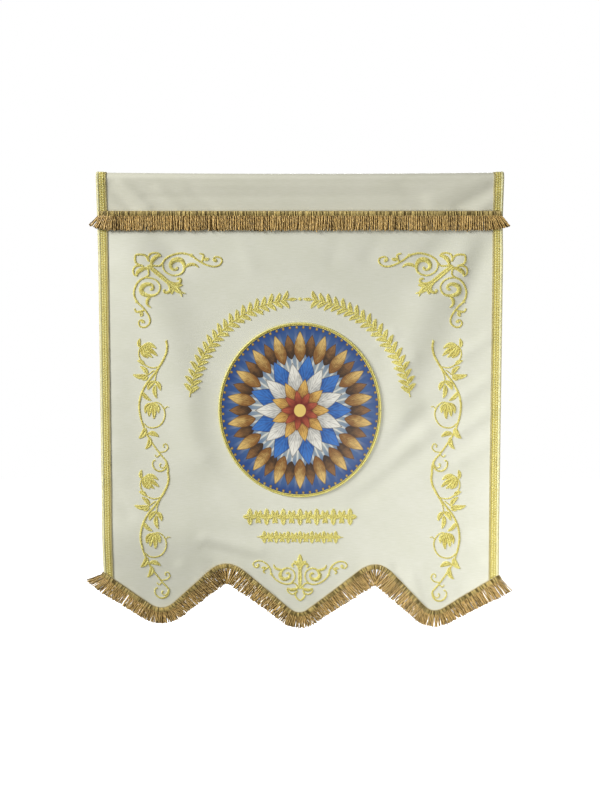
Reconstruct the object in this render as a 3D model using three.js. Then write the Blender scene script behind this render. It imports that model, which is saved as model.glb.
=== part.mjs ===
// Church banner: an ivory cloth panel with a three-lobed foot, hung from a pole sleeve along its top.
// Gold galloon edges both sides, a gold fringe covers the sleeve's seam and another follows the foot,
// and an oval printed roundel with a gold cord round it is sewn on the middle of the panel.
// Millimetres. +X runs to the viewer's right, +Z is up and -Y points at the viewer.
// The origin is the middle of the sleeve's top edge, where the banner hangs.
import * as THREE from "three";

// Cloth
const PANEL_WIDTH = 1000;
const HALF_WIDTH = PANEL_WIDTH / 2;
const CLOTH = 2; // thickness of the panel
const SEAM_Z = -95; // top edge of the panel, where the sleeve is sewn on
const PANEL_COLUMNS = 40;
const PANEL_ROWS = 24;
const GAP = 0.3; // between two pieces that lie on each other
const TRIM_GAP = 0.6; // between the folded panel and the trim that follows it
const FOLD_GAP = 1.6; // between the flat faces of the folds and the fringe that hangs over them

// Pole sleeve: a band folded over the pole, its two legs sewn to either side of the panel's top
const SLEEVE_CLOTH = 1.5;
const SLEEVE_TOP_RADIUS = 14;
const SLEEVE_LEG = 14; // overlap of each leg on the panel
const LEG_Z = SEAM_Z - SLEEVE_LEG; // lower edge of both legs, below which the panel hangs free
const SLEEVE_ARC_STEPS = 10;
const SLEEVE_COLUMNS = 8;
const SLEEVE_SAG = 3; // how far the top edge sinks between its ends

// Galloon, the flat braid along the sides
const GALLOON_WIDTH = PANEL_WIDTH / PANEL_COLUMNS;
const GALLOON_THICK = 1;

// Fringes: a woven header with strands below it
const FRINGE_THICK = 3;
const FRINGE_HEADER = 11;
const TOP_FRINGE_DEPTH = 46;
const FOOT_FRINGE_DEPTH = { lobe: 41, arch: 52 }; // deeper at the arches than round the lobes
const HEADER_ON_CLOTH = 8; // how much of the foot's header lies on the panel
const TOOTH_PITCH = 16;
const TOOTH_SHARE = 0.9; // share of the pitch that a tuft of strands fills
const TOP_FRINGE_HALF = 494;

// Printed roundel and the cord round it
const ROUNDEL = { x: 0, z: -587, halfWidth: 199, halfHeight: 214.5 };
const ROUNDEL_THICK = 1;
const ROUNDEL_CELLS = 12;
const CORD_RADIUS = 2.4;
const CORD_STEPS = 44;
const CORD_SIDES = 6;

// The line along which the foot's fringe is sewn on, by its turning points from left to right.
// round is how far either side of the point the line bends.
const FOOT = [
  { point: "left end", x: -HALF_WIDTH, z: -1002, round: 0 },
  { point: "left lobe", x: -353, z: -1096, round: 34 },
  { point: "left arch", x: -187, z: -979, round: 46 },
  { point: "middle lobe", x: -3, z: -1107, round: 25 },
  { point: "right arch", x: 191, z: -978, round: 44 },
  { point: "right lobe", x: 339, z: -1095, round: 27 },
  { point: "right end", x: HALF_WIDTH, z: -1001, round: 0 },
];

// How the strands at each end of a fringe lean outwards, in degrees, over the last stretch of its length.
const SPLAY = {
  top: { left: 46, right: 44, reach: 34 },
  foot: { left: 38, right: 14, reach: 42 },
};

// Main folds of the panel. Each is a soft ridge, or a trough where lift is negative, along a line of points.
// spread is the half width at which it has mostly died away.
const FOLDS = [
  { fold: "left crest", line: [[-425, -165], [-337, -350], [-287, -537], [-257, -690]], spread: 60, lift: 7 },
  { fold: "left hollow", line: [[-420, -520], [-405, -760]], spread: 40, lift: -1.8 },
  { fold: "upper left trough", line: [[-345, -160], [-300, -215]], spread: 28, lift: -3.5 },
  { fold: "upper right trough", line: [[366, -150], [318, -208]], spread: 26, lift: -3.5 },
  { fold: "right crest, upper part", line: [[423, -155], [383, -262]], spread: 32, lift: 4.8 },
  { fold: "right crest, lower part", line: [[318, -320], [264, -450], [224, -575]], spread: 48, lift: 5.2 },
  { fold: "right trough, upper part", line: [[456, -185], [428, -270], [405, -335]], spread: 30, lift: -3.4 },
  { fold: "right trough, lower part", line: [[372, -400], [330, -480], [285, -560]], spread: 36, lift: -2.6 },
  { fold: "side pull, first ridge", line: [[283, -575], [225, -635], [163, -700]], spread: 26, lift: 3 },
  { fold: "side pull, first trough", line: [[320, -598], [255, -650], [190, -717]], spread: 26, lift: -4.2 },
  { fold: "side pull, second ridge", line: [[310, -645], [240, -700], [165, -765]], spread: 26, lift: 4 },
  { fold: "side pull, second trough", line: [[300, -697], [225, -745], [150, -803]], spread: 26, lift: -3.2 },
  { fold: "brow of the left lobe", line: [[-480, -905], [-300, -912]], spread: 62, lift: 4.8 },
];

// Broad swells of the panel, in the same terms. They also carry the roundel, which keeps the folds away from it.
const SWELLS = [
  { swell: "middle billow", line: [[-20, -300], [10, -900]], spread: 210, lift: 7 },
  { swell: "left lobe hangs back", line: [[-540, -1160], [-220, -1140]], spread: 170, lift: -26 },
  { swell: "middle lobe hangs back", line: [[-80, -1190], [60, -1190]], spread: 140, lift: -22 },
  { swell: "right lobe comes forward", line: [[300, -1080], [520, -1090]], spread: 170, lift: 9 },
];
const SLACK_FROM = 1.18; // distances from the roundel's middle, in its radii, where the folds begin
const SLACK_TO = 1.4; // and where they are full
const SIDE_TURN = { left: -8, right: 12 }; // how far each side edge turns towards the viewer
const TURN_REACH = 120;
const FOLD_START = 110; // length below the sleeve over which the folds grow

const MATERIALS = {
  ivoryCloth: { color: 0xdcdac6, roughness: 0.75, metalness: 0 },
  goldBraid: { color: 0xc2a544, roughness: 0.45, metalness: 0.45 },
  goldFringe: { color: 0xa98548, roughness: 0.5, metalness: 0.4 },
  print: { color: 0x5f7390, roughness: 0.6, metalness: 0 },
  goldCord: { color: 0xd9bd55, roughness: 0.45, metalness: 0.35 },
};

const { clamp, lerp, smoothstep, degToRad } = THREE.MathUtils;

// Goes from 0 to 1 along a straight slope whose two ends are rounded over the given shares of its length.
function roundedSlope(t, startRound, endRound) {
  const steepness = 1 / (1 - startRound / 2 - endRound / 2);
  if (t < startRound) return (steepness * t * t) / (2 * startRound);
  if (t > 1 - endRound) return 1 - (steepness * (1 - t) ** 2) / (2 * endRound);
  return steepness * (t - startRound / 2);
}

// Height of the foot's sewing line at x.
function footZ(x) {
  const last = FOOT.length - 2;
  const k = clamp(FOOT.findIndex((p) => p.x > x) - 1, 0, last);
  const next = x >= HALF_WIDTH ? last : k;
  const a = FOOT[next];
  const b = FOOT[next + 1];
  const span = b.x - a.x;
  const t = clamp((x - a.x) / span, 0, 1);
  return lerp(a.z, b.z, roundedSlope(t, a.round / span, b.round / span));
}

// Slope of the foot's sewing line at x.
function footSlope(x) {
  const step = 0.5;
  return (footZ(x + step) - footZ(x - step)) / (2 * step);
}

// Height that one fold gives the cloth at (x, z): a bell across its line that fades past its ends.
function foldLift({ line, spread, lift }, x, z) {
  const here = new THREE.Vector3(x, z, 0);
  const points = line.map(([px, pz]) => new THREE.Vector3(px, pz, 0));
  const away = points.slice(1).map((end, i) => {
    const nearest = new THREE.Line3(points[i], end).closestPointToPoint(here, true, new THREE.Vector3());
    return nearest.distanceTo(here);
  });
  return lift * Math.exp(-((Math.min(...away) / spread) ** 2));
}

// How far the middle of the panel's cloth stands towards the viewer at (x, z).
function relief(x, z) {
  const total = (bells) => bells.reduce((sum, bell) => sum + foldLift(bell, x, z), 0);
  const fromRoundel = Math.hypot((x - ROUNDEL.x) / ROUNDEL.halfWidth, (z - ROUNDEL.z) / ROUNDEL.halfHeight);
  const slack = smoothstep(fromRoundel, SLACK_FROM, SLACK_TO);
  const sideTurn = x < 0 ? SIDE_TURN.left : SIDE_TURN.right;
  const turn = sideTurn * clamp((Math.abs(x) - HALF_WIDTH) / TURN_REACH + 1, 0, 1) ** 2;
  const grown = smoothstep(LEG_Z - z, 0, FOLD_START);
  return grown * (total(SWELLS) + slack * total(FOLDS) + turn);
}

// Point of the panel at (x, z), offset towards the viewer from the middle of the cloth.
function onPanel(x, z, offset) {
  return new THREE.Vector3(x, -relief(x, z) - offset, z);
}

// Evenly spaced numbers from a to b.
function steps(a, b, count) {
  return Array.from({ length: count + 1 }, (_, i) => lerp(a, b, i / count));
}

// One closed surface from quads whose corners run counterclockwise seen from outside.
function surface(quads) {
  const position = [];
  for (const [a, b, c, d] of quads) {
    for (const p of [a, b, c, a, c, d]) position.push(p.x, p.y, p.z);
  }
  const geometry = new THREE.BufferGeometry();
  geometry.setAttribute("position", new THREE.Float32BufferAttribute(position, 3));
  geometry.computeVertexNormals();
  return geometry;
}

// A thin solid between two grids of points: rows run downwards and columns to the right, seen from the front.
function sheet(front, back) {
  const rows = front.length - 1;
  const columns = front[0].length - 1;
  const quads = [];
  for (let i = 0; i < rows; i++) {
    for (let j = 0; j < columns; j++) {
      quads.push([front[i][j], front[i + 1][j], front[i + 1][j + 1], front[i][j + 1]]);
      quads.push([back[i][j], back[i][j + 1], back[i + 1][j + 1], back[i + 1][j]]);
    }
    quads.push([front[i][0], back[i][0], back[i + 1][0], front[i + 1][0]]);
    quads.push([front[i][columns], front[i + 1][columns], back[i + 1][columns], back[i][columns]]);
  }
  for (let j = 0; j < columns; j++) {
    quads.push([front[0][j], front[0][j + 1], back[0][j + 1], back[0][j]]);
    quads.push([back[rows][j], back[rows][j + 1], front[rows][j + 1], front[rows][j]]);
  }
  return surface(quads);
}

// A sheet whose two faces are the given offsets from the middle of the panel's cloth.
function panelSheet(grid, frontOffset, backOffset) {
  const face = (offset) => grid.map((row) => row.map(([x, z]) => onPanel(x, z, offset)));
  return sheet(face(frontOffset), face(backOffset));
}

// Heights at which the panel's folds are taken at x, from the sleeve's legs to the cut edge.
function panelHeights(x) {
  const edge = footZ(x) - HEADER_ON_CLOTH * Math.hypot(1, footSlope(x));
  return steps(LEG_Z, edge, PANEL_ROWS - 1);
}

// Panel: flat cloth cut to the lobed foot, hanging in its folds.
function panelGeometry() {
  const columns = steps(-HALF_WIDTH, HALF_WIDTH, PANEL_COLUMNS);
  const heights = columns.map(panelHeights);
  const hanging = heights[0].map((_, i) => columns.map((x, j) => [x, heights[j][i]]));
  const sewnIn = columns.map((x) => [x, SEAM_Z]);
  return panelSheet([sewnIn, ...hanging], CLOTH / 2, -CLOTH / 2);
}

// Section of the sleeve from the foot of its back leg, over the pole, to the foot of its front leg,
// as points of its outer face and of the face that lies a cloth's thickness inside it.
function sleeveSection(extra, thick) {
  const legY = CLOTH / 2 + GAP + SLEEVE_CLOTH + extra;
  const radius = SLEEVE_TOP_RADIUS + extra;
  const centreZ = -SLEEVE_TOP_RADIUS;
  const lean = Math.atan2(radius - legY, centreZ - SEAM_Z);
  const arc = steps(-lean, Math.PI + lean, SLEEVE_ARC_STEPS);
  const backLeg = [
    { y: legY, z: LEG_Z, inward: [-1, 0] },
    { y: legY, z: SEAM_Z, inward: [-1, 0] },
  ];
  const overPole = arc.map((a) => ({
    y: radius * Math.cos(a),
    z: centreZ + radius * Math.sin(a),
    inward: [-Math.cos(a), -Math.sin(a)],
  }));
  const frontLeg = backLeg.map(({ z }) => ({ y: -legY, z, inward: [1, 0] })).reverse();
  const outer = [...backLeg, ...overPole, ...frontLeg];
  const inner = outer.map(({ y, z, inward }) => ({ y: y + thick * inward[0], z: z + thick * inward[1] }));
  return { outer, inner };
}

// How far the sleeve hangs below its ends at x. Its legs stay on the seam.
function sleeveSag(x, z) {
  const middle = 1 - (x / HALF_WIDTH) ** 2;
  return SLEEVE_SAG * middle * smoothstep(z, SEAM_Z, 0);
}

// A band of cloth or braid round the sleeve's section, between two places along it.
function sleeveBand(left, right, columns, extra, thick) {
  const section = sleeveSection(extra, thick);
  const face = (points) =>
    points.map(({ y, z }) =>
      steps(left, right, columns).map((x) => new THREE.Vector3(x, y, z - sleeveSag(x, z))),
    );
  return sheet(face(section.outer), face(section.inner));
}

// Galloon over one end of the sleeve, from the foot of its back leg to the foot of its front leg.
function sleeveGalloonGeometry(left, right) {
  return sleeveBand(left, right, 1, GAP + GALLOON_THICK, GALLOON_THICK);
}

// Galloon down one side of the panel, from under the sleeve's leg to the foot's fringe.
function sideGalloonGeometry(left, right) {
  const heights = (x) => panelHeights(x).map((z) => clamp(z, footZ(x) + TRIM_GAP, LEG_Z - GAP));
  const leftHeights = heights(left);
  const rightHeights = heights(right);
  const grid = leftHeights.map((z, i) => [[left, z], [right, rightHeights[i]]]);
  const back = CLOTH / 2 + TRIM_GAP;
  return panelSheet(grid, back + GALLOON_THICK, back);
}

// A fringe as one comb: a header with tufts of strands below it.
// Each station gives the header's top, the root of its strands and their tips, on the front and on the back.
function comb(stations) {
  const quads = [];
  const band = (a, b, upper, lower) => {
    quads.push([a.front[upper], a.front[lower], b.front[lower], b.front[upper]]);
    quads.push([a.back[upper], b.back[upper], b.back[lower], a.back[lower]]);
  };
  const side = (s, upper, lower, facesLeft) => {
    const wall = [s.front[upper], s.back[upper], s.back[lower], s.front[lower]];
    quads.push(facesLeft ? wall : wall.reverse());
  };
  const under = (a, b, level) => quads.push([a.back[level], b.back[level], b.front[level], a.front[level]]);
  stations.slice(0, -1).forEach((a, i) => {
    const b = stations[i + 1];
    const isTuft = i % 2 === 0;
    band(a, b, "top", "root");
    quads.push([a.front.top, b.front.top, b.back.top, a.back.top]);
    if (!isTuft) {
      under(a, b, "root");
      return;
    }
    band(a, b, "root", "tip");
    under(a, b, "tip");
    side(a, "root", "tip", true);
    side(b, "root", "tip", false);
  });
  side(stations[0], "top", "root", true);
  side(stations.at(-1), "top", "root", false);
  return surface(quads);
}

// Places along a fringe of the given length where its tufts start and end.
function tuftEdges(length) {
  const tufts = Math.round(length / TOOTH_PITCH);
  const pitch = length / (tufts - 1 + TOOTH_SHARE);
  return Array.from({ length: tufts }, (_, i) => [i * pitch, (i + TOOTH_SHARE) * pitch]).flat();
}

// Lean of the strands at a place along a fringe: negative to the left, positive to the right.
function splayAt(place, length, { left, right, reach }) {
  const nearLeft = clamp(1 - place / reach, 0, 1);
  const nearRight = clamp(1 - (length - place) / reach, 0, 1);
  return degToRad(right * nearRight - left * nearLeft);
}

// One station of a comb. start is the header's top, down points along the header to its lower edge,
// lean turns the strands from there, and depth(x, z) is how far the fringe's back lies towards the viewer.
function fringeStation(start, down, lean, fringeDepth, depth) {
  const root = start.clone().addScaledVector(down, FRINGE_HEADER);
  const strand = down.clone().rotateAround(new THREE.Vector2(), lean);
  const tip = root.clone().addScaledVector(strand, fringeDepth - FRINGE_HEADER);
  const levels = { top: start, root, tip };
  const face = (extra) =>
    Object.fromEntries(
      Object.entries(levels).map(([level, p]) => [
        level,
        new THREE.Vector3(p.x, -depth(p.x, p.y) - extra, p.y),
      ]),
    );
  return { front: face(FRINGE_THICK), back: face(0) };
}

// Fringe over the sleeve's seam, straight, lying on the sleeve's leg, the galloon at its ends and the folds below.
function topFringeGeometry() {
  const length = 2 * TOP_FRINGE_HALF;
  const onSleeve = CLOTH / 2 + GAP + SLEEVE_CLOTH + GAP;
  const onGalloon = onSleeve + GALLOON_THICK + GAP;
  const raised = HALF_WIDTH - GALLOON_WIDTH - TOOTH_PITCH;
  const onFolds = CLOTH / 2 + TRIM_GAP + GALLOON_THICK + FOLD_GAP;
  const overFolds = (x, z) => relief(clamp(x, -HALF_WIDTH, HALF_WIDTH), z) + onFolds;
  const overSleeve = (x) => lerp(onSleeve, onGalloon, smoothstep(Math.abs(x), raised - TOOTH_PITCH, raised));
  const depth = (x, z) => (z > LEG_Z ? overSleeve(x) : Math.max(overSleeve(x), overFolds(x, z)));
  const down = new THREE.Vector2(0, -1);
  const stations = tuftEdges(length).map((place) => {
    const start = new THREE.Vector2(place - TOP_FRINGE_HALF, SEAM_Z);
    return fringeStation(start, down, splayAt(place, length, SPLAY.top), TOP_FRINGE_DEPTH, depth);
  });
  return comb(stations);
}

// The foot's sewing line as points a millimetre or so apart, with the length to each.
function footLine() {
  const line = [];
  let length = 0;
  for (const x of steps(-HALF_WIDTH, HALF_WIDTH, PANEL_WIDTH)) {
    const point = new THREE.Vector2(x, footZ(x));
    if (line.length) length += point.distanceTo(line.at(-1).point);
    line.push({ point, length });
  }
  return line;
}

// Fringe along the foot, its strands square to the sewing line.
function footFringeGeometry() {
  const line = footLine();
  const length = line.at(-1).length;
  const depth = (x, z) => relief(clamp(x, -HALF_WIDTH, HALF_WIDTH), z) + CLOTH / 2 + TRIM_GAP;
  const stations = tuftEdges(length).map((place) => {
    const { point } = line.find((p) => p.length >= place - 1e-6) ?? line.at(-1);
    const down = new THREE.Vector2(footSlope(point.x), -1).normalize();
    const rise = smoothstep(point.y, -1100, -980);
    const fringeDepth = lerp(FOOT_FRINGE_DEPTH.lobe, FOOT_FRINGE_DEPTH.arch, rise);
    return fringeStation(point, down, splayAt(place, length, SPLAY.foot), fringeDepth, depth);
  });
  return comb(stations);
}

// Point of the roundel for a cell corner (u, v) of a square from -1 to 1, drawn in to an oval.
function roundelPoint(u, v) {
  const across = u * Math.sqrt(1 - (v * v) / 2);
  const up = v * Math.sqrt(1 - (u * u) / 2);
  return [ROUNDEL.x + ROUNDEL.halfWidth * across, ROUNDEL.z + ROUNDEL.halfHeight * up];
}

// Printed roundel: an oval of satin lying on the panel.
function roundelGeometry() {
  const cells = steps(-1, 1, ROUNDEL_CELLS);
  const grid = cells.map((v) => cells.map((u) => roundelPoint(u, -v)));
  const back = CLOTH / 2 + TRIM_GAP;
  return panelSheet(grid, back + ROUNDEL_THICK, back);
}

// Cord round the roundel: a closed oval tube that stands on the panel just outside the print.
function roundelCordGeometry() {
  const outside = CORD_RADIUS + GAP;
  const ringAt = (i) => {
    const turn = (2 * Math.PI * i) / CORD_STEPS;
    const outward = new THREE.Vector2(Math.cos(turn), Math.sin(turn));
    const x = ROUNDEL.x + (ROUNDEL.halfWidth + outside) * outward.x;
    const z = ROUNDEL.z + (ROUNDEL.halfHeight + outside) * outward.y;
    const centre = onPanel(x, z, CLOTH / 2 + TRIM_GAP + CORD_RADIUS);
    return Array.from({ length: CORD_SIDES }, (_, j) => {
      const round = (2 * Math.PI * j) / CORD_SIDES;
      const reach = CORD_RADIUS * Math.cos(round);
      const rise = CORD_RADIUS * Math.sin(round);
      return new THREE.Vector3(outward.x * reach, rise, outward.y * reach).add(centre);
    });
  };
  const rings = Array.from({ length: CORD_STEPS }, (_, i) => ringAt(i));
  const quads = rings.flatMap((ring, i) => {
    const next = rings[(i + 1) % CORD_STEPS];
    return ring.map((p, j) => {
      const k = (j + 1) % CORD_SIDES;
      return [p, ring[k], next[k], next[j]];
    });
  });
  return surface(quads);
}

const galloonInner = HALF_WIDTH - GALLOON_WIDTH;
const banner = new THREE.Group();

function addPiece(name, geometry, finish) {
  const mesh = new THREE.Mesh(geometry, new THREE.MeshStandardMaterial(MATERIALS[finish]));
  mesh.name = name;
  banner.add(mesh);
}

addPiece("panel", panelGeometry(), "ivoryCloth");
addPiece("sleeve", sleeveBand(-HALF_WIDTH, HALF_WIDTH, SLEEVE_COLUMNS, 0, SLEEVE_CLOTH), "ivoryCloth");
addPiece("galloon_left", sideGalloonGeometry(-HALF_WIDTH, -galloonInner), "goldBraid");
addPiece("galloon_right", sideGalloonGeometry(galloonInner, HALF_WIDTH), "goldBraid");
addPiece("galloon_sleeve_left", sleeveGalloonGeometry(-HALF_WIDTH, -galloonInner), "goldBraid");
addPiece("galloon_sleeve_right", sleeveGalloonGeometry(galloonInner, HALF_WIDTH), "goldBraid");
addPiece("fringe_top", topFringeGeometry(), "goldFringe");
addPiece("fringe_foot", footFringeGeometry(), "goldFringe");
addPiece("roundel", roundelGeometry(), "print");
addPiece("roundel_cord", roundelCordGeometry(), "goldCord");

export default banner;
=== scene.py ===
import math

import bpy
import numpy as np
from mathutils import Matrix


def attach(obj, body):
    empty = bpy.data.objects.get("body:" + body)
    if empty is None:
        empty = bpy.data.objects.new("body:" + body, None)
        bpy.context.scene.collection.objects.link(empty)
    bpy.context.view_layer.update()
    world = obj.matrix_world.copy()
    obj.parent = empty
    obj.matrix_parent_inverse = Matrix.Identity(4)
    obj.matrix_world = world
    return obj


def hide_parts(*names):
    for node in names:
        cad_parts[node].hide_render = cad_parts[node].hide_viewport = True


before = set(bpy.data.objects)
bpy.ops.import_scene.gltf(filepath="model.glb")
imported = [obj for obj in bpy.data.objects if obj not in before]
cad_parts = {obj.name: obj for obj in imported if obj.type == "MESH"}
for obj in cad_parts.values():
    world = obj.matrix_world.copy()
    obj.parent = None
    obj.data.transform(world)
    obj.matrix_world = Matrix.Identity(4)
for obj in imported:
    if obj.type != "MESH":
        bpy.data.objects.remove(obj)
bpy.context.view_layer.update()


# Panel: one width of ivory ribbed cloth, cut to a three-lobed foot and hemmed on the back.
# Its top is sewn between the sleeve's legs, and it hangs from there in a few broad soft folds,
# with small creases where the trim pulls it and where it was folded away.
HALF_WIDTH = 0.500
SEAM_Z = -0.095
LEG_Z = -0.109  # foot of the sleeve's legs, below which the cloth hangs free
CLOTH_THICK = 0.002
HEADER_ON_CLOTH = 0.008  # cloth that runs on under the foot fringe's header
HEM_WIDTH = 0.018
HEM_STEP = 0.0009
LEFT_TURN = -0.008  # how far each side edge turns towards the viewer
RIGHT_TURN = 0.012
TURN_REACH = 0.120
FOLD_START = 0.110
PRINT_Z = -0.587  # the stiff printed roundel keeps the cloth under it free of narrow folds
PRINT_HALF_WIDTH = 0.199
PRINT_HALF_HEIGHT = 0.2145
PANEL_COLUMNS = 152
PANEL_ROWS = 130
IVORY = (0.790, 0.790, 0.680, 1)
IVORY_DEEP = (0.735, 0.739, 0.612, 1)

FOOT = (  # turning points of the line that the foot's fringe is sewn on
    dict(x=-0.500, z=-1.002, round=0.0001),
    dict(x=-0.353, z=-1.096, round=0.034),
    dict(x=-0.187, z=-0.979, round=0.046),
    dict(x=-0.003, z=-1.107, round=0.025),
    dict(x=0.191, z=-0.978, round=0.044),
    dict(x=0.339, z=-1.095, round=0.027),
    dict(x=0.500, z=-1.001, round=0.0001),
)

SWELLS = (  # broad swells: the line each one follows, how wide it spreads and how far it lifts the cloth
    dict(line=((-0.020, -0.300), (0.010, -0.900)), spread=0.210, lift=0.007),  # middle billow
    dict(line=((-0.540, -1.160), (-0.220, -1.140)), spread=0.170, lift=-0.026),  # left lobe hangs back
    dict(line=((-0.080, -1.190), (0.060, -1.190)), spread=0.140, lift=-0.022),  # middle lobe hangs back
    dict(line=((0.300, -1.080), (0.520, -1.090)), spread=0.170, lift=0.009),  # right lobe comes forward
)

FOLDS = (  # main folds, in the same terms
    dict(  # left crest
        line=((-0.425, -0.165), (-0.337, -0.350), (-0.287, -0.537), (-0.257, -0.690)),
        spread=0.060,
        lift=0.0070,
    ),
    dict(line=((-0.420, -0.520), (-0.405, -0.760)), spread=0.040, lift=-0.0018),  # left hollow
    dict(line=((-0.345, -0.160), (-0.300, -0.215)), spread=0.028, lift=-0.0035),  # upper left trough
    dict(line=((0.366, -0.150), (0.318, -0.208)), spread=0.026, lift=-0.0035),  # upper right trough
    dict(line=((0.423, -0.155), (0.383, -0.262)), spread=0.032, lift=0.0048),  # right crest
    dict(line=((0.318, -0.320), (0.264, -0.450), (0.224, -0.575)), spread=0.048, lift=0.0052),
    dict(line=((0.456, -0.185), (0.428, -0.27), (0.405, -0.335)), spread=0.03, lift=-0.0034),  # right trough
    dict(line=((0.372, -0.400), (0.330, -0.480), (0.285, -0.560)), spread=0.036, lift=-0.0026),
    dict(line=((0.283, -0.575), (0.225, -0.635), (0.163, -0.700)), spread=0.026, lift=0.0030),  # side pulls
    dict(line=((0.320, -0.598), (0.255, -0.650), (0.190, -0.717)), spread=0.026, lift=-0.0042),
    dict(line=((0.310, -0.645), (0.240, -0.700), (0.165, -0.765)), spread=0.026, lift=0.0040),
    dict(line=((0.300, -0.697), (0.225, -0.745), (0.150, -0.803)), spread=0.026, lift=-0.0032),
    dict(line=((-0.480, -0.905), (-0.300, -0.912)), spread=0.062, lift=0.0048),  # brow of the left lobe
)

CREASES = (  # small creases, in the same terms
    dict(line=((0.466, -0.408), (0.410, -0.448)), spread=0.016, lift=0.0028),
    dict(line=((0.466, -0.513), (0.405, -0.556)), spread=0.017, lift=0.0032),
    dict(line=((0.466, -0.593), (0.400, -0.640)), spread=0.017, lift=0.0034),
    dict(line=((0.466, -0.672), (0.400, -0.715)), spread=0.018, lift=0.0025),
    dict(line=((0.200, -0.150), (0.172, -0.205)), spread=0.022, lift=-0.0017),
    dict(line=((0.232, -0.395), (0.180, -0.438)), spread=0.014, lift=0.0020),
    dict(line=((0.285, -0.455), (0.246, -0.480)), spread=0.013, lift=0.0018),
    dict(line=((-0.237, -0.912), (-0.105, -0.946)), spread=0.018, lift=0.0026),
    dict(line=((-0.240, -0.936), (-0.110, -0.968)), spread=0.015, lift=-0.0014),
    dict(line=((-0.300, -0.985), (-0.262, -1.020)), spread=0.016, lift=0.0024),
    dict(line=((-0.230, -0.711), (-0.135, -0.855)), spread=0.024, lift=0.0020),
    dict(line=((0.240, -0.985), (0.262, -1.030)), spread=0.010, lift=-0.0020),
    dict(line=((0.285, -1.010), (0.305, -1.065)), spread=0.010, lift=0.0018),
    dict(line=((-0.090, -1.010), (-0.060, -1.060)), spread=0.012, lift=-0.0012),
    dict(line=((0.410, -0.900), (0.455, -0.960)), spread=0.016, lift=-0.0018),
    dict(line=((-0.150, -0.150), (-0.120, -0.230)), spread=0.020, lift=0.0011),
    dict(line=((-0.475, -0.780), (-0.430, -0.850)), spread=0.016, lift=-0.0016),
    dict(line=((0.100, -0.150), (0.080, -0.215)), spread=0.018, lift=-0.0010),
)


def smoothstep(value, low, high):
    """0 below low, 1 above high and a smooth rise between them."""
    t = np.clip((value - low) / (high - low), 0, 1)
    return t * t * (3 - 2 * t)


def rounded_slope(t, start_round, end_round):
    """From 0 to 1 along a straight slope whose two ends are rounded over those shares of its length."""
    steepness = 1 / (1 - start_round / 2 - end_round / 2)
    start = steepness * t * t / (2 * start_round)
    end = 1 - steepness * (1 - t) ** 2 / (2 * end_round)
    middle = steepness * (t - start_round / 2)
    return np.where(t < start_round, start, np.where(t > 1 - end_round, end, middle))


def foot_z(x):
    """Height at x of the line that the foot's fringe is sewn on."""
    x = np.clip(x, -HALF_WIDTH, HALF_WIDTH)
    height = np.zeros_like(x)
    for a, b in zip(FOOT, FOOT[1:]):
        span = b["x"] - a["x"]
        t = np.clip((x - a["x"]) / span, 0, 1)
        between = a["z"] + (b["z"] - a["z"]) * rounded_slope(t, a["round"] / span, b["round"] / span)
        height = np.where((x >= a["x"]) & (x <= b["x"]), between, height)
    return height


def foot_slope(x):
    """Slope at x of the line that the foot's fringe is sewn on."""
    step = 0.0005
    return (foot_z(x + step) - foot_z(x - step)) / (2 * step)


def fold_lift(x, z, line, spread, lift):
    """Height that one fold gives the cloth: a bell across its line that fades past its ends."""
    nearest = np.inf
    for (start_x, start_z), (end_x, end_z) in zip(line, line[1:]):
        run_x = end_x - start_x
        run_z = end_z - start_z
        share = ((x - start_x) * run_x + (z - start_z) * run_z) / (run_x**2 + run_z**2)
        share = np.clip(share, 0, 1)
        nearest = np.minimum(nearest, np.hypot(x - start_x - share * run_x, z - start_z - share * run_z))
    return lift * np.exp(-((nearest / spread) ** 2))


def pucker(x, z):
    """Small ripples that the sewn-on trim draws into the cloth beside it."""
    from_foot = np.maximum(z - foot_z(x), 0)
    from_side = np.maximum(HALF_WIDTH - 0.025 - np.abs(x), 0)
    along_foot = np.sin(x * 118) + 0.8 * np.sin(x * 71 + 1.3)
    along_side = np.sin(z * 96 + x) + 0.8 * np.sin(z * 53 + 0.7)
    return 0.00035 * (along_foot * np.exp(-from_foot / 0.030) + along_side * np.exp(-from_side / 0.035))


def relief(x, z):
    """How far the middle of the panel's cloth stands towards the viewer."""
    broad = sum(fold_lift(x, z, **swell) for swell in SWELLS)
    narrow = sum(fold_lift(x, z, **fold) for fold in FOLDS + CREASES)
    from_print = np.hypot(x / PRINT_HALF_WIDTH, (z - PRINT_Z) / PRINT_HALF_HEIGHT)
    slack = smoothstep(from_print, 1.00, 1.42)
    near_side = np.clip((np.abs(x) - HALF_WIDTH) / TURN_REACH + 1, 0, 1)
    turn = np.where(x < 0, LEFT_TURN, RIGHT_TURN) * near_side**2
    shape = broad + slack * narrow + pucker(x, z) + turn
    return smoothstep(LEG_Z - z, 0, FOLD_START) * shape


def sheet_mesh(name, front, back, uv):
    """A closed thin mesh between two grids of points, whose rows run down and whose columns run right."""
    rows, columns = front.shape[:2]
    count = rows * columns
    index = np.arange(count).reshape(rows, columns)
    corners = [index[:-1, :-1], index[1:, :-1], index[1:, 1:], index[:-1, 1:]]
    quads = np.stack(corners, axis=-1).reshape(-1, 4)
    rim = np.concatenate([index[:, 0], index[-1, 1:], index[-2::-1, -1], index[0, -2:0:-1]])
    after = np.roll(rim, -1)
    edge = np.stack([after, rim, rim + count, after + count], axis=-1)
    faces = np.concatenate([quads, quads[:, ::-1] + count, edge])
    mesh = bpy.data.meshes.new(name)
    points = np.concatenate([front.reshape(-1, 3), back.reshape(-1, 3)])
    mesh.from_pydata(points.tolist(), [], faces.tolist())
    layer = mesh.uv_layers.new(name="cloth")
    flat = np.concatenate([uv.reshape(-1, 2)] * 2)[faces.reshape(-1)]
    layer.data.foreach_set("uv", flat.reshape(-1))
    mesh.shade_smooth()
    return mesh


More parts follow.
